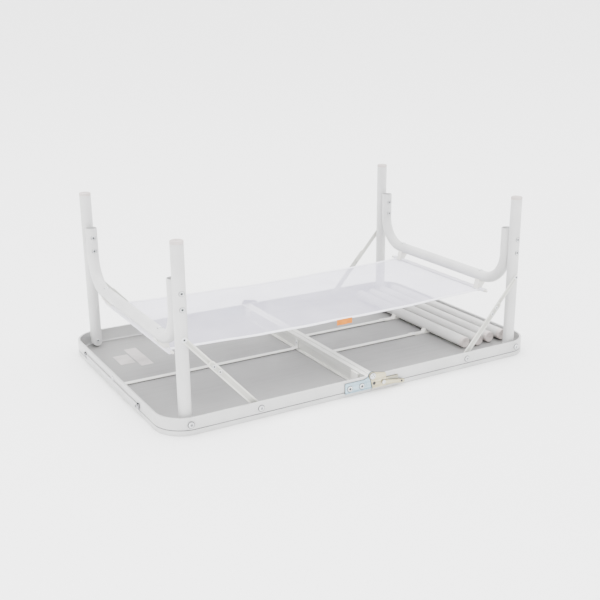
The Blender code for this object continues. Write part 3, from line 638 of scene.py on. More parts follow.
for side, sign in sides:
    body = f"{side}_leg_frame"
    for end, direction in ends:
        x, y = sign * legX, direction * legY
        makePiece(f"{side}_leg_{end}_pipe", [legSurface(x, y)], [whiteCoat], body,
            [f"{side}_leg_{end}"])
        makePiece(f"{side}_leg_foot_{end}", [capSurface(x, y)], [capPlastic], body,
            [f"{side}_leg_cap_{end}"])
    path = barPath(sign * legX)
    last = len(path) - 1
    outer = [(0, tubeRadius - 0.0005)] + [(n, tubeRadius) for n in range(1, last)] + [(last,
        tubeRadius - 0.0005)]
    inner = [(n, tubeRadius - tubeLook["wall"]) for n in range(last, -1, -1)]
    surface = pipe(path, outer + inner + outer[:1], (1, 0, 0))
    makePiece(f"{side}_leg_bar_pipe", [surface], [whiteCoat], body, [f"{side}_leg_bar"])
print("leg frames done")

storedLook = {"wall": 0.0012, "footRings": (0.0104, 0.0078, 0.0048), "ringDepth": 0.0007}


def footSurface(x, y, z, length):
    # a foot seen end on: stepped rings round a small hole, and a thin raised band at its back
    k = storedLook
    profile = [(length + 0.010, 0), (length + 0.010, tubeRadius - 0.0016), (length, tubeRadius - 0.0016)]
    profile += [(length, tubeRadius), (0.0012, tubeRadius), (0.0004, tubeRadius - 0.0005),
        (0, tubeRadius - 0.0016)]
    depth = 0
    for radius in k["footRings"]:
        profile += [(depth, radius), (depth + k["ringDepth"], radius - 0.0004)]
        depth += k["ringDepth"]
    profile += [(depth, 0.0016), (depth + 0.004, 0.0014), (depth + 0.004, 0)]
    return turned(profile, (x, y, z), (0, 1, 0), 40)


for number in range(1, 5):
    (x0, y0, z0), (x1, y1, z1) = boxOf(f"extension_tube_{number}")
    x, z = (x0 + x1) / 2, (z0 + z1) / 2
    path = [(x, y0, z), (x, y0 + 0.001, z), (x, y1 - 0.001, z), (x, y1, z)]
    inner = tubeRadius - storedLook["wall"]
    steps = [(0, inner), (0, tubeRadius - 0.0004), (1, tubeRadius), (2, tubeRadius),
        (3, tubeRadius - 0.0004), (3, inner), (0, inner)]
    body = f"extension_{number}"
    makePiece(f"stored_tube_{number}", [pipe(path, steps, (1, 0, 0))], [tubeCoat], body,
        [f"extension_tube_{number}"])
    f0 = boxOf(f"extension_foot_{number}")[0][1]
    foot = footSurface(x, f0, z, y0 - f0 - 0.0003)
    makePiece(f"stored_foot_{number}", [foot], [capPlastic], body,
        [f"extension_foot_{number}"])
print("stored tubes done")


# ---- rivets and screws
rivetLook = {
    "eyelet": [(0.0006, 0), (0.0006, 0.0024), (0.0016, 0.0028), (0.0020, 0.0035), (0.0018, 0.0046),
        (0.0010, 0.0057), (0, 0.0060)],
    "small": [(0.0005, 0), (0.0005, 0.0017), (0.0013, 0.0020), (0.0016, 0.0026), (0.0012, 0.0036),
    (0, 0.0042)],
    "core": [(0.0009, 0), (0.0009, 0.0023), (0.0003, 0.0023), (0.0003, 0)],
    "smallCore": [(0.0008, 0), (0.0008, 0.0016), (0.0002, 0.0016), (0.0002, 0)],
    "button": [(0.0006, 0), (0.0006, 0.0026), (0.0016, 0.0029), (0.0019, 0.0034), (0.0014, 0.0043),
    (0, 0.0047)],
    # the seat shapes are dark discs a little wider than their heads: painted shadow round each head
    "buttonShadowRing": [(0.00012, 0), (0.00012, 0.0054), (0, 0.0055), (-0.0004, 0.0055), (-0.0004, 0)],
    "shadowRing": [(0.00012, 0), (0.00012, 0.0068), (0, 0.0069), (-0.0004, 0.0069), (-0.0004, 0)],
    "flush": [(0.00005, 0), (0.00005, 0.0026), (0.00024, 0.0029), (0.00024, 0.0043), (0, 0.0047)],
    "flushCore": [(0.00014, 0), (0.00014, 0.0025), (-0.0003, 0.0025), (-0.0003, 0)],
    "flushShadowRing": [(0.00002, 0), (0.00002, 0.0053), (-0.0012, 0.0055), (-0.0012, 0)],
}


def headParts(kind, base, axis, shank=0.0):
    # a rolled head with a dark disc of painted shade in its hollow middle, a ring of painted shadow round
    # the larger heads, and a shank of this length behind it
    small = kind == "small"
    radius = 0.0022 if small else 0.003
    profile = rivetLook[kind] + [(0, radius), (-shank - 0.0002, radius), (-shank - 0.0002, 0)]
    core = rivetLook.get(kind + "Core", rivetLook["core"])
    shadowRing = rivetLook.get(kind + "ShadowRing", rivetLook["shadowRing"])
    parts = [(*turned(profile, base, axis, 24), 0), (*turned(core, base, axis, 20), 1)]
    return parts if small else [*parts, (*turned(shadowRing, base, axis, 24), 1)]


def nextFinish(parts):
    # the same parts, each with the next material number
    return [(points, faces, mark + 1) for points, faces, mark in parts]


def collarRivet(x, z, direction, tail, hasTail):
    # the whole pivot rivet: head outside the rim, collar inside it, and a flat tail
    face = halfWidth + 0.0003
    wall = halfWidth - 0.0040
    profile = [(h, r) for h, r in rivetLook["eyelet"]]
    profile = [(face + h, r) for h, r in profile] + [(face, 0.003), (wall, 0.003), (wall, 0.0058),
        (tail + 0.0024, 0.0058)]
    profile += [(tail + 0.0024, 0.003), (tail, 0.003), (tail, 0.0045 if hasTail else 0.003),
        (tail - 0.001, 0.0040 if hasTail else 0.003), (tail - 0.001, 0)]
    core = [(face + h, r) for h, r in rivetLook["core"]]
    # a dark disc just wider than the head, painted shadow round it
    shadowRing = [(face + h - 0.00015, r) for h, r in rivetLook["shadowRing"]]
    base, axis = (x, 0, z), (0, direction, 0)
    return [(*turned(profile, base, axis, 28), 0), (*turned(core, base, axis, 20), 2),
        (*turned(shadowRing, base, axis, 28), 1)]


# the second material, near black, is painted shade in hollows and round heads
steelAndPaintedShade = [rivetSteel, blackAndPaintedShade]
rimRivet = [rivetSteel, blackAndPaintedShade, rivetCore]
barRivetHeights = (0.270, 0.240)
for side, sign in sides:
    for end, direction in ends:
        legTail = legY + tubeRadius - 0.0018
        footTail = legY + tubeRadius + 0.0010
        leg = collarRivet(sign * legX, pivotHeight, direction, legTail, False)
        foot = collarRivet(sign * stayFootX, pivotHeight, direction, footTail, True)
        makePiece(f"{side}_leg_eyelet_{end}", leg, rimRivet, f"{side}_half",
            [f"{side}_leg_rivet_{end}"])
        makePiece(f"{side}_stay_eyelet_{end}", foot, rimRivet, f"{side}_half",
            [f"{side}_stay_rivet_{end}"])
    heads = []
    for end, direction in ends:
        for height in barRivetHeights:
            # flush here, because the upper stay folds over these heads
            outside = direction * (legY + tubeRadius)
            heads += headParts("flush", (sign * legX, outside, height), (0, direction, 0), 0.0012)
            heads += headParts("button", (sign * legX, direction * (barY - tubeRadius + 0.0006), height),
                (0, -direction, 0))
        top = barLow[2] + 2 * tubeRadius
        heads += headParts("button", (sign * legX, direction * 0.156, top - 0.0006), (0, 0, 1))
        heads += headParts("small", (sign * legX, direction * (legY - tubeRadius + 0.0002), pivotHeight),
            (0, -direction, 0))
    makePiece(f"{side}_frame_rivets", heads, steelAndPaintedShade, f"{side}_leg_frame")
print("rivets done")


# ---- folding stays
stayLook = {"thick": 0.0018, "ease": 0.0005, "beadWidth": 0.0024, "beadHeight": 0.0010,
            "topRing": [(0.00005, 0), (0.00005, 0.0024), (0.00022, 0.0028), (0.00022, 0.0046),
            (0, 0.0052), (-0.0010, 0.0052), (-0.0010, 0)],
            "topCore": [(0.00012, 0), (0.00012, 0.0023), (-0.0003, 0.0023), (-0.0003, 0)]}


def staySurface(start, end, width, low, direction):
    # a strip with round ends and a raised bead round its edge
    k = stayLook
    bead, thick = k["beadWidth"], k["thick"]
    profile = [(k["ease"], 0), (0, k["ease"]), (0, thick - k["ease"]), (k["ease"], thick), (bead, thick)]
    profile += [(bead + 0.0005, thick - k["beadHeight"])]
    return slab(stadium(start, end, width / 2), profile, low, direction)


stayReach = math.hypot(legX - stayFootX, stayTopHeight - pivotHeight)
stayExtra = (stayTopHeight - pivotHeight) - (legX - stayFootX)
stayTurn = math.atan2(stayTopHeight - pivotHeight, legX - stayFootX)
lowerLength = (stayReach + stayExtra) / 2


def stayChannel(start, end, width, low, direction):
    # painted shade: the pressed middle of a stay, coloured a little darker than its edges
    k = stayLook
    bead = k["beadWidth"] + 0.0007
    outline = stadium(start, end, width / 2 - bead)
    floor = k["thick"] - k["beadHeight"]
    return slab(outline, [(0, floor - 0.0003), (0, floor + 0.0001), (0.0002, floor + 0.0002)], low,
        direction)


def alongStay(sign, distance):
    return sign * (stayFootX + distance * math.cos(stayTurn)), pivotHeight + distance * math.sin(stayTurn)


for side, sign in sides:
    for end, direction in ends:
        upperFace = direction * (legY + tubeRadius + 0.0003)
        lowerFace = upperFace + direction * (stayLook["thick"] + 0.0003)
        foot, knee, tip = (alongStay(sign, d) for d in (0, lowerLength, lowerLength + 0.024))
        top = (sign * legX, stayTopHeight)
        lower = staySurface(foot, tip, 0.014, lowerFace, direction)
        upper = staySurface(top, knee, 0.011, upperFace, direction)
        outside = lowerFace + direction * stayLook["thick"]
        pins = []
        for place in (knee, alongStay(sign, lowerLength + 0.017)):
            pins += headParts("small", (place[0], outside - direction * 0.0005, place[1]),
                (0, direction, 0))
        lowerChannel = (*stayChannel(foot, tip, 0.014, lowerFace, direction), 3)
        upperChannel = (*stayChannel(top, knee, 0.011, upperFace, direction), 1)
        pins = nextFinish(pins)
        topPlace = (top[0], upperFace + direction * stayLook["thick"], top[1])
        # nearly flush, so that the lower stay folds over it
        topRing = turned(stayLook["topRing"], topPlace, (0, direction, 0), 28)
        # topCore: a dark disc of painted shade in the ring's hollow middle
        topCore = turned(stayLook["topCore"], topPlace, (0, direction, 0), 20)
        body = f"{side}_lower_stay_{end}"
        parts = [lower, lowerChannel, *pins]
        makePiece(body + "_strip", parts, [stayCoat, *steelAndPaintedShade, stayShade], body + "_link",
            [body])
        body = f"{side}_upper_stay_{end}"
        parts = [upper, upperChannel, (*topRing, 2), (*topCore, 3)]
        makePiece(body + "_strip", parts, [stayCoat, stayShade, *steelAndPaintedShade], body + "_link",
            [body])
print("stays done")


# ---- ribs, end blocks, tube clip pads, labels
ribLook = {"width": 0.012, "low": 0.0066, "high": 0.0083, "tab": 0.0018, "tabTop": 0.028, "lift": 0.0095,
    "shadowBase": 0.0054}


def ribSurface(start, end, y, sign, tabAtEnd):
    # a strip that steps up over the flange at each end and turns up as a tab; the outline is in X and Z
    k = ribLook
    step = start + 0.011
    line = [(start, k["low"] + 0.0009), (start, k["tabTop"]), (start + k["tab"], k["tabTop"]),
        (start + k["tab"], k["lift"])]
    line += [(step, k["lift"]), (step + 0.003, k["high"])]
    if tabAtEnd:
        back = end - 0.0105
        line += [(back - 0.003, k["high"]), (back, k["lift"]), (end - k["tab"], k["lift"]),
            (end - k["tab"], k["tabTop"])]
        line += [(end, k["tabTop"]), (end, k["low"] + 0.0009), (back, k["low"] + 0.0009),
            (back - 0.003, k["low"])]
    else:
        line += [(end, k["high"]), (end, k["low"])]
    line += [(step + 0.003, k["low"]), (step, k["low"] + 0.0009)]
    outline = np.array(line) * (sign, 1)
    width = k["width"]
    return slab(outline, [(0.0003, 0), (0, 0.0004), (0, width - 0.0004), (0.0003, width)], y - width / 2,
        1)


def ribShadowStrip(start, end, y, sign):
    # painted shadow under the rib: a dark strip that the rib lies on
    low, high = sorted((sign * (start + 0.012), sign * (end - 0.012)))
    return roundedBlock((low, y - 0.0048, ribLook["shadowBase"]), (high, y + 0.0048, ribLook["low"] - 0.0001),
        0.0003)


railOuter = 0.0118
ribEnds = {"left_rib": (-1, 0.0, True), "right_rib_front": (1, -0.063, False),
    "right_rib_back": (1, 0.063, False)}
for node, (sign, y, tabAtEnd) in ribEnds.items():
    side = "left" if sign < 0 else "right"
    far = max(abs(boxOf(node)[0][0]), abs(boxOf(node)[1][0]))
    makePiece(f"{node}_strip", [ribSurface(railOuter, far, y, sign, tabAtEnd)], [ribPlastic],
        f"{side}_half", [node])
    # the rib's dark strip is painted shadow
    makePiece(f"{node}_painted_shadow", [ribShadowStrip(railOuter, far, y, sign)], [paintedShadowStrip], f"{side}_half")
    pins = headParts("small", (sign * (railOuter + ribLook["tab"] - 0.0002), y, 0.0214), (sign, 0, 0))
    if tabAtEnd:
        pins += headParts("small", (sign * (far - ribLook["tab"] + 0.0002), y, 0.0226), (-sign, 0, 0))
        pins += headParts("eyelet", (sign * (halfLength - 0.0004), y, 0.0226), (sign, 0, 0))
    makePiece(f"{node}_rivets", pins, steelAndPaintedShade, f"{side}_half")
for end, direction in ends:
    low, high = boxOf(f"tube_clip_{end}")
    x, y = low[0], (low[1] + high[1]) / 2
    pad = roundedBlock((x - 0.010, y - 0.008, 0.0084), (x + 0.008, y + 0.008, 0.0088), 0.00015)
    makePiece(f"clip_pad_{end}", [pad], [clipPlastic], "right_half")
    makePiece(f"clip_screw_{end}", headParts("small", (x + 0.001, y, 0.0087), (0, 0, 1)), steelAndPaintedShade,
        "right_half")
print("ribs done")

blockLook = {"depth": 0.027, "setBack": 0.029}
for side, sign in sides:
    for end, direction in ends:
        outer = direction * (halfWidth - blockLook["setBack"])
        inner = outer - direction * blockLook["depth"]
        low, high = sorted((sign * 0.0118, sign * 0.0152))
        block = roundedBlock((low, min(outer, inner), 0.0090), (high, max(outer, inner), 0.0320), 0.0006)
        # the holes are dark discs, painted shade
        holes = []
        for away, height in ((0.0025, 0.0225), (0.0105, 0.0200)):
            base = (sign * 0.0117, outer + direction * away, height)
            holes.append((*turned([(0, 0), (0, 0.0022), (0.0005, 0.0022), (0.0005, 0)], base,
                (sign, 0, 0), 20), 1))
        makePiece(f"{side}_end_block_{end}", [(*block, 0), *holes], [clipPlastic, blackAndPaintedShade],
            f"{side}_half")

labelLook = {"long": (-0.343, 0.143, 0.028, 0.116), "short": (-0.3775, 0.140, 0.033, 0.058),
    "lift": 0.0003}


def labelSurface(x, y, length, width):
    # a thin paper rectangle on the panel
    z = boxOf("left_panel")[1][2]
    return roundedBlock((x - length / 2, y - width / 2, z),
        (x + length / 2, y + width / 2, z + labelLook["lift"]), 0.0001)


for key in ("long", "short"):
    makePiece(f"blank_label_{key}", [labelSurface(*labelLook[key])], [labelPaper], "left_half")
print("blocks and labels done")


# ---- hinges and lock levers
hingeLook = {"leafLow": 0.0078, "leafHigh": 0.0300, "length": 0.065, "thick": 0.002, "ear": 0.0085,
    "ease": 0.0004, "lipHeight": 0.0022, "shoulder": 0.0248}
nearFace = halfWidth + 0.0003
overFace = nearFace + hingeLook["thick"] + 0.0003
leverFace = overFace + hingeLook["thick"] + 0.0003


def plateSurface(outline, low, direction, thick=hingeLook["thick"]):
    ease = hingeLook["ease"]
    return slab(outline, [(0, 0), (0, thick - ease), (ease, thick)], low, direction)


def outlineShadow(outline, low, direction):
    # painted shade: a thin dark outline that shows round a plate's edge, just behind it
    return slab(outline, [(-0.0005, 0), (-0.0005, 0.0003)], low - direction * 0.0001, direction)


def leftLeaf(direction):
    k = hingeLook
    ear = arcPoints((0, foldHeight), k["ear"], 190, -90, 18)
    line = [(-0.0005, k["leafLow"]), (-k["length"], k["leafLow"]), (-k["length"], k["leafHigh"]),
        (-0.018, k["leafHigh"])]
    outline = np.concatenate([line, ear, [(-0.0005, foldHeight - k["ear"])]])
    return [(*plateSurface(outline, direction * nearFace, direction), 0),
        (*outlineShadow(outline, direction * nearFace, direction), 2)]


def rightLeaf(direction):
    k = hingeLook
    flat = [(0.0105, k["leafLow"]), (k["length"], k["leafLow"]), (k["length"], k["shoulder"]),
        (0.0105, k["shoulder"])]
    ear = arcPoints((0, foldHeight), k["ear"], 240, 85, 16)
    over = np.concatenate([[(0.0005, k["leafLow"])], ear,
        [(0.032, 0.0375), (0.034, 0.034), (0.034, k["leafLow"])]])
    near, far = direction * nearFace, direction * overFace
    shadowLines = [(*outlineShadow(flat, near, direction), 2), (*outlineShadow(over, far, direction), 2)]
    return [(*plateSurface(flat, near, direction, 0.0032), 0), (*plateSurface(over, far, direction), 0),
        *shadowLines]


def lip(x0, x1, direction):
    # the leaf's lower edge, turned out as a small rounded lip
    y0, y1 = sorted((direction * nearFace, direction * (nearFace + 0.0030)))
    k = hingeLook
    return roundedBlock((x0, y0, k["leafLow"] - 0.0002), (x1, y1, k["leafLow"] + k["lipHeight"]), 0.0005)


def arcBead(x, z, radius, start, end, y):
    # a raised bead of half-round section that follows an arc on the leaf
    xz = arcPoints((x, z), radius, start, end, 14)
    path = np.column_stack([xz[:, 0], np.full(len(xz), y), xz[:, 1]])
    size = np.full(len(path), 0.0006)
    size[[0, -1]] = 0.0
    return pipe(path, np.column_stack([np.arange(len(path)), size]), (0, 1, 0), 10)


for end, direction in ends:
    face = direction * (nearFace + hingeLook["thick"])
    beads = [arcBead(-0.012, 0.0205, 0.0062, 100, 260, face),
        arcBead(-0.006, 0.0210, 0.0075, 110, 250, face)]
    parts = [*leftLeaf(direction), lip(-0.065, -0.0008, direction), *beads]
    for x, kind in ((-0.0540, "eyelet"), (-0.0250, "eyelet")):
        pin = headParts(kind, (x, face, 0.0178), (0, direction, 0))
        parts += nextFinish(pin)
    makePiece(f"left_leaf_{end}", parts, [zincBlue, *steelAndPaintedShade], "left_half",
        [f"left_hinge_leaf_{end}"])
    parts = [*rightLeaf(direction), lip(0.0008, 0.065, direction)]
    makePiece(f"right_leaf_{end}", parts, [zincYellow, *steelAndPaintedShade], "right_half",
        [f"right_hinge_leaf_{end}"])
    base = (0, direction * (overFace + hingeLook["thick"] + 0.0003), foldHeight)
    pinProfile = [(-0.0047, 0), (-0.0047, 0.0035), (0, 0.0035), (0, 0.0070), (0.0010, 0.0070),
        (0.0019, 0.0062)]
    pinProfile += [(0.0022, 0.0050), (0.0015, 0.0042), (0.0014, 0.0026), (0.0019, 0.0019), (0.0019, 0)]
    # a dark disc just wider than the pin head, painted shadow round it
    pinShadowRing = [(-0.0001, 0), (-0.0001, 0.0078), (0.0002, 0.0078), (0.0002, 0)]
    dots = [(*turned([(0.0012, 0), (0.0016, 0.0010), (0.0020, 0.0008), (0.0020, 0)],
        (x, base[1], foldHeight + z), (0, direction, 0), 12), 1) for x,
        z in ((-0.0032, 0.0004), (0.0030, -0.0008), (0.0002, 0.0030))]
    makePiece(f"fold_pin_head_{end}", [(*turned(pinProfile, base, (0, direction, 0), 36), 0),
        (*turned(pinShadowRing, base, (0, direction, 0), 36), 1), *dots], steelAndPaintedShade, "left_half",
        [f"fold_pin_{end}"])
    plate = direction * (overFace + hingeLook["thick"] - 0.0001)
    # the latch hole: a dark disc of painted shade
    plug = turned([(0, 0), (0, 0.0036), (0.0004, 0.0038), (0.0004, 0)], (0.0040, plate, 0.0190),
        (0, direction, 0), 20)
    makePiece(f"latch_hole_{end}", [plug], [blackAndPaintedShade], "right_half")

leverLook = {"pivot": (0.027, 0.018), "length": 0.050, "turn": -9.0, "wide": 0.0085,
            "wedge": [(0.036, 0.0205), (0.066, 0.0150), (0.066, 0.0246), (0.040, 0.0236)]}
for end, direction in ends:
    k = leverLook
    turn = math.radians(k["turn"])
    tip = (k["pivot"][0] + k["length"] * math.cos(turn), k["pivot"][1] + k["length"] * math.sin(turn))
    shape = stadium(k["pivot"], tip, k["wide"] / 2)
    bar = plateSurface(shape, direction * leverFace, direction)
    shade = outlineShadow(shape, direction * leverFace, direction)
    face = direction * (leverFace + hingeLook["thick"])
    boss = [(-0.0045, 0), (-0.0045, 0.0026), (0, 0.0026), (0, 0.0044), (0.0008, 0.0044),
        (0.0012, 0.0036), (0.0008, 0.0028), (0.0008, 0.0016), (0.0012, 0.0012), (0.0012, 0)]
    knob = [(0, 0), (0, 0.0024), (0.0009, 0.0021), (0.0012, 0)]
    nearTip = (tip[0] - 0.004 * math.cos(turn), tip[1] - 0.004 * math.sin(turn))
    parts = [bar, (*shade, 2), (*turned(boss, (k["pivot"][0], face, k["pivot"][1]), (0, direction, 0),
        28), 1)]
    parts += [(*turned(knob, (nearTip[0], face, nearTip[1]), (0, direction, 0), 20), 2)]
    makePiece(f"lever_{end}", parts, [zincYellow, rivetSteel, blackAndPaintedShade], f"lock_lever_{end}_body",
        [f"lock_lever_{end}"])
    # the wedge is coloured dark olive, painted shade on yellow zinc
    wedge = plateSurface(k["wedge"], direction * (nearFace + 0.0030), direction, 0.0006)
    makePiece(f"lever_wedge_{end}", [wedge], [wedgePaintedShade], "right_half")
    y0, y1 = sorted((direction * (halfWidth - 0.0030), direction * (halfWidth - 0.0045)))
    for side, sign, x0, x1, finish in (("left", -1, 0.016, 0.073, zincBlue),
            ("right", 1, 0.016, 0.059, zincGrey)):
        low, high = sorted((sign * x0, sign * x1))
        plate = roundedBlock((low, y0, 0.0095), (high, y1, 0.0315), 0.0005)
        makePiece(f"{side}_backing_plate_{end}", [plate], [finish], f"{side}_half")
print("hinges done")


# ---- carry handle
gripLow, gripHigh = boxOf("carry_handle")
gripRadius = (gripHigh[2] - gripLow[2]) / 2
gripMiddle = (gripHigh[2] + gripLow[2]) / 2
outline = stadium((gripLow[1] + gripRadius, gripMiddle), (gripHigh[1] - gripRadius, gripMiddle),
    gripRadius)
points, faces = slab(outline, [(0.0003, 0), (0, 0.0003), (0, 0.0022), (0.0008, 0.0030), (0.0030, 0.0030),
    (0.0034, 0.0026)], 0, 1)
points = np.stack([gripHigh[0] - points[:, 1], points[:, 0], points[:, 2]], -1)
parts = [(points, faces)]
# the pegs at the grip's ends are near black: painted shade for the gaps there
for y in (gripLow[1] + 0.004, gripHigh[1] - 0.004):
    peg = turned([(0.0026, 0), (0.0026, 0.0026), (0.0030, 0.0030), (0.0032, 0)],
        (gripHigh[0], y, gripMiddle), (-1, 0, 0), 20)
    parts.append((*peg, 1))
makePiece("carry_grip", parts, [gripPlastic, blackAndPaintedShade], "handle", ["carry_handle"])
wall = -halfLength
for label, y0, y1 in (("front", gripLow[1] - 0.010, gripLow[1] - 0.0006),
        ("back", gripHigh[1] + 0.0006, gripHigh[1] + 0.010)):
    keeper = roundedBlock((wall - 0.0030, y0, 0.0135), (wall - 0.0002, y1, 0.0245), 0.0008)
    pin = roundedBlock((wall - 0.0036, y0 + 0.003, 0.0205), (wall - 0.0002, y1 - 0.003, 0.0265), 0.0008)
    makePiece(f"grip_keeper_{label}", [(*keeper, 0), (*pin, 1)], [zincGrey, blackAndPaintedShade], "left_half")
print("handle done")


# ---- mesh shelf, in three sheets that meet at the same edges
shelfLook = {"sag": 0.008, "ripple": 0.0011, "hemWidth": 0.011, "hemThick": 0.0016, "split": 0.283,
    "bendEnd": 0.283, "rows": 60}
shelfLow, shelfHigh = boxOf("mesh_shelf")
shelfReach, shelfHalf = shelfHigh[0], shelfHigh[1]
shelfZ = (shelfLow[2] + shelfHigh[2]) / 2


def shelfHeight(x, y):
    # z = rod height - a parabola of sag along X - ripples that fade out at the rods
    k = shelfLook
    free = 1 - (x / shelfReach) ** 2
    ripple = np.sin(19 * x + 9 * y) * 0.6 + np.sin(47 * x - 23 * y + 1.3) * 0.4
    return shelfZ - free * (k["sag"] * (0.75 + 0.25 * (y / shelfHalf) ** 2) + k["ripple"] * ripple)


def shelfSheet(x0, x1):
    # a grid over x0..x1 and the width between the hems' outer edges
    columns = max(int((x1 - x0) * 130), 8)
    x, y = np.meshgrid(np.linspace(x0, x1, columns),
        np.linspace(-shelfHalf, shelfHalf, shelfLook["rows"]))
    points = np.stack([x, y, shelfHeight(x, y)], -1).reshape(-1, 3)
    return points, [gridFaces(*x.shape)[:, ::-1]]


def hemSurface(x0, x1, direction):
    # a flat oval section (cos, sin) carried along the shelf's long edge
    k = shelfLook
    columns = max(int((x1 - x0) * 130), 8)
    a = np.linspace(0, 2 * math.pi, 16, endpoint=False)
    x, a = np.meshgrid(np.linspace(x0, x1, columns), a, indexing="ij")
    across = np.sign(np.cos(a)) * np.abs(np.cos(a)) ** 0.5 * k["hemWidth"] / 2
    y = direction * (shelfHalf - k["hemWidth"] / 2) + across
    z = shelfHeight(x, y) + np.sin(a) * k["hemThick"] / 2
    return np.stack([x, y, z], -1).reshape(-1, 3), [gridFaces(*x.shape, closeColumns=True),
        capFaces(*x.shape)]


tagLook = {"x": 0.008, "length": 0.038, "drop": 0.011, "thick": 0.0007}
k = tagLook
tagTop = float(shelfHeight(np.array(k["x"]), np.array(-shelfHalf)))
x = np.linspace(k["x"] - k["length"] / 2, k["x"] + k["length"] / 2, 14)
down = np.linspace(0.0014, -k["drop"], 8)
x, down = np.meshgrid(x, down, indexing="ij")
wave = 0.0006 * np.sin(240 * x) * (down / k["drop"])
front = np.stack([x, -shelfHalf - 0.0012 + wave, tagTop + down], -1)
rear = front + (0, k["thick"], 0)
tagPoints = np.concatenate([front.reshape(-1, 3), rear.reshape(-1, 3)])
edge = np.concatenate([np.arange(0, 8), np.arange(15, 112, 8), np.arange(110, 103, -1),
    np.arange(96, 0, -8)])
rimFaces = np.stack([edge, np.roll(edge, -1), np.roll(edge, -1) + 112, edge + 112], -1)
tagPiece = makePiece("hem_tag", [(tagPoints, [gridFaces(14, 8), gridFaces(14, 8)[:, ::-1] + 112,
    rimFaces])], [tagFabric], None)

split, reach = shelfLook["split"], shelfReach
spans = {
    "left": (-reach, -split, "left_leg_frame", "left_half", -legX + 0.010, -shelfLook["bendEnd"]),
    "middle": (-split, split, "left_half", "right_half", -0.10, 0.10),
    "right": (split, reach, "right_half", "right_leg_frame", shelfLook["bendEnd"], legX - 0.010),
}
for key, (x0, x1, first, second, start, finish) in spans.items():
    sheet = makePiece(f"shelf_{key}", [shelfSheet(x0, x1)], [meshFabric], None,
        ["mesh_shelf"], sharp=80, closed=False)
    uv = sheet.data.uv_layers.new(name="flat")
    corner = np.empty(len(sheet.data.loops), int)
    sheet.data.loops.foreach_get("vertex_index", corner)
    place = np.empty(len(sheet.data.vertices) * 3)
    sheet.data.vertices.foreach_get("co", place)
    uv.data.foreach_set("uv", place.reshape(-1, 3)[corner][:, :2].astype(np.float32).ravel())
    pieces = [tagPiece] if key == "middle" else []
    for end, direction in ends:
        pieces.append(makePiece(f"shelf_hem_{key}_{end}", [hemSurface(x0, x1, direction)], [hemTape],
            None, sharp=60))
    for piece in [sheet, *pieces]:
        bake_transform(piece)
print("shelf done")

hookLook = {"width": 0.016, "ring": 0.0056, "saddle": 0.0129, "sleeve": (0.0054, 0.0042),
    "shift": 0.0025, "rodEnd": 0.192, "sleeveEnd": 0.183, "y": 0.156}
for side, sign in sides:
    low, high = boxOf(f"{side}_shelf_rod")
    rodX = sign * (legX - 0.010)
    barCentre = (legX, barLow[2] + tubeRadius)
    body = f"{side}_leg_frame"
    rodEnd = hookLook["rodEnd"]
    rodProfile = [(-rodEnd, 0), (-rodEnd, 0.0018), (0.0008 - rodEnd, 0.0026), (rodEnd - 0.0008, 0.0026),
        (rodEnd, 0.0018), (rodEnd, 0)]
    makePiece(f"{side}_rod", [turned(rodProfile, (rodX, 0, shelfZ), (0, 1, 0), 20)], [clipPlastic], body,
        [f"{side}_shelf_rod"])
    a = np.linspace(0, 2 * math.pi, 24, endpoint=False)
    along, a = np.meshgrid(np.linspace(-hookLook["sleeveEnd"], hookLook["sleeveEnd"], 60), a,
        indexing="ij")
    wide, tall = hookLook["sleeve"]
    sleeve = np.stack([rodX + sign * hookLook["shift"] + wide * np.cos(a), along,
        shelfZ + tall * np.sin(a) * (1 + 0.08 * np.sin(160 * along))], -1)
    makePiece(f"{side}_end_hem", [(sleeve.reshape(-1, 3),
        [gridFaces(60, 24, closeColumns=True), capFaces(60, 24)])], [hemTape], body)
    clips = []
    for end, direction in ends:
        saddle = arcPoints(barCentre, hookLook["saddle"], 335, 215, 14)
        ring = arcPoints((legX - 0.010, shelfZ), hookLook["ring"], 160, 350, 12)
        outline = np.concatenate([saddle, ring, [(legX + 0.004, 0.1400),
            (legX + 0.0105, 0.1478)]]) * (sign, 1)
        width = hookLook["width"]
        clips.append(slab(outline, [(0.0006, 0), (0, 0.0008), (0, width - 0.0008), (0.0006, width)],
            direction * hookLook["y"] - width / 2, 1))
        screw = headParts("small", (sign * (legX + 0.0040), direction * hookLook["y"], 0.1412),
            (sign * 0.6, 0, -0.8))
        clips += nextFinish(screw)
    makePiece(f"{side}_shelf_clips", clips, [clipPlastic, *steelAndPaintedShade], body)

print("clips done")


# ---- floor, light and camera
stageLook = {"floor": (0.95, 0.95, 0.95), "flat": 4.5, "edge": 16.0, "rise": 0.10, "world": 1.0}
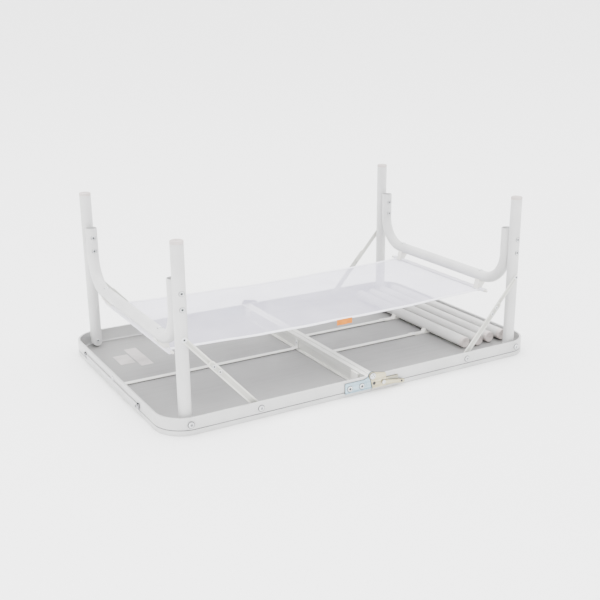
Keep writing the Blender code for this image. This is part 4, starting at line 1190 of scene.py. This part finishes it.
# the floor: z = rise * (r - flat)^2 past the flat middle, so that it curves up into a backdrop
k = stageLook
radius, turn = np.meshgrid(np.linspace(0, k["edge"], 60),
    np.linspace(0, 2 * math.pi, 96, endpoint=False), indexing="ij")
lifted = k["rise"] * np.maximum(radius - k["flat"], 0) ** 2
cove = np.stack([radius * np.cos(turn), radius * np.sin(turn), lifted], -1).reshape(-1, 3)
floorFinish = Finish("floorPaper", stageLook["floor"], 0.9)
floorFinish.bump(floorFinish.effect("coat", Grain=60.0, Clouds=2.0)["Height"], 0.0004, 0.2)
floor = makePiece("floor", [(cove, [gridFaces(60, 96, closeColumns=True)])], [floorFinish.material],
    None, closed=False)

world = bpy.data.worlds.new("studio")
world.use_nodes = True
world.node_tree.nodes["Background"].inputs[0].default_value = (1, 1, 1, 1)
world.node_tree.nodes["Background"].inputs[1].default_value = stageLook["world"]
bpy.context.scene.world = world


def softLight(name, place, aim, size, power):
    lamp = bpy.data.lights.new(name, "AREA")
    lamp.size, lamp.energy = size, power
    light = bpy.data.objects.new(name, lamp)
    light.location = place
    light.rotation_euler = (Vector(aim) - Vector(place)).to_track_quat("-Z", "Y").to_euler()
    bpy.context.collection.objects.link(light)


broad = bpy.data.lights.new("broadLight", "SUN")
broad.energy, broad.angle = 8.6, math.radians(75)
broadLight = bpy.data.objects.new("broadLight", broad)
broadLight.rotation_euler = (math.radians(-14), math.radians(6), 0)
bpy.context.collection.objects.link(broadLight)
softLight("sideBox", (-2.4, -1.6, 1.8), (0, 0, 0.1), 1.4, 40.0)

cameraLook = {"place": (-0.99177, -1.74599, 0.74592), "yaw": 32.779, "pitch": -17.276, "roll": 0.4325,
    "lens": 54.99, "shift": -0.0833}
yaw, pitch, roll = (math.radians(cameraLook[key]) for key in ("yaw", "pitch", "roll"))
ahead = Vector((math.sin(yaw) * math.cos(pitch), math.cos(yaw) * math.cos(pitch), math.sin(pitch)))
level = Vector((math.cos(yaw), -math.sin(yaw), 0))
above = level.cross(ahead)
right = level * math.cos(roll) + above * math.sin(roll)
upward = above * math.cos(roll) - level * math.sin(roll)
lens = bpy.data.cameras.new("view")
lens.lens, lens.sensor_width, lens.shift_x = cameraLook["lens"], 36, cameraLook["shift"]
camera = bpy.data.objects.new("view", lens)
turnMatrix = Matrix((right, upward, -ahead)).transposed().to_4x4()
camera.matrix_world = Matrix.Translation(cameraLook["place"]) @ turnMatrix
bpy.context.collection.objects.link(camera)
bpy.context.scene.camera = camera

bpy.context.view_layer.update()
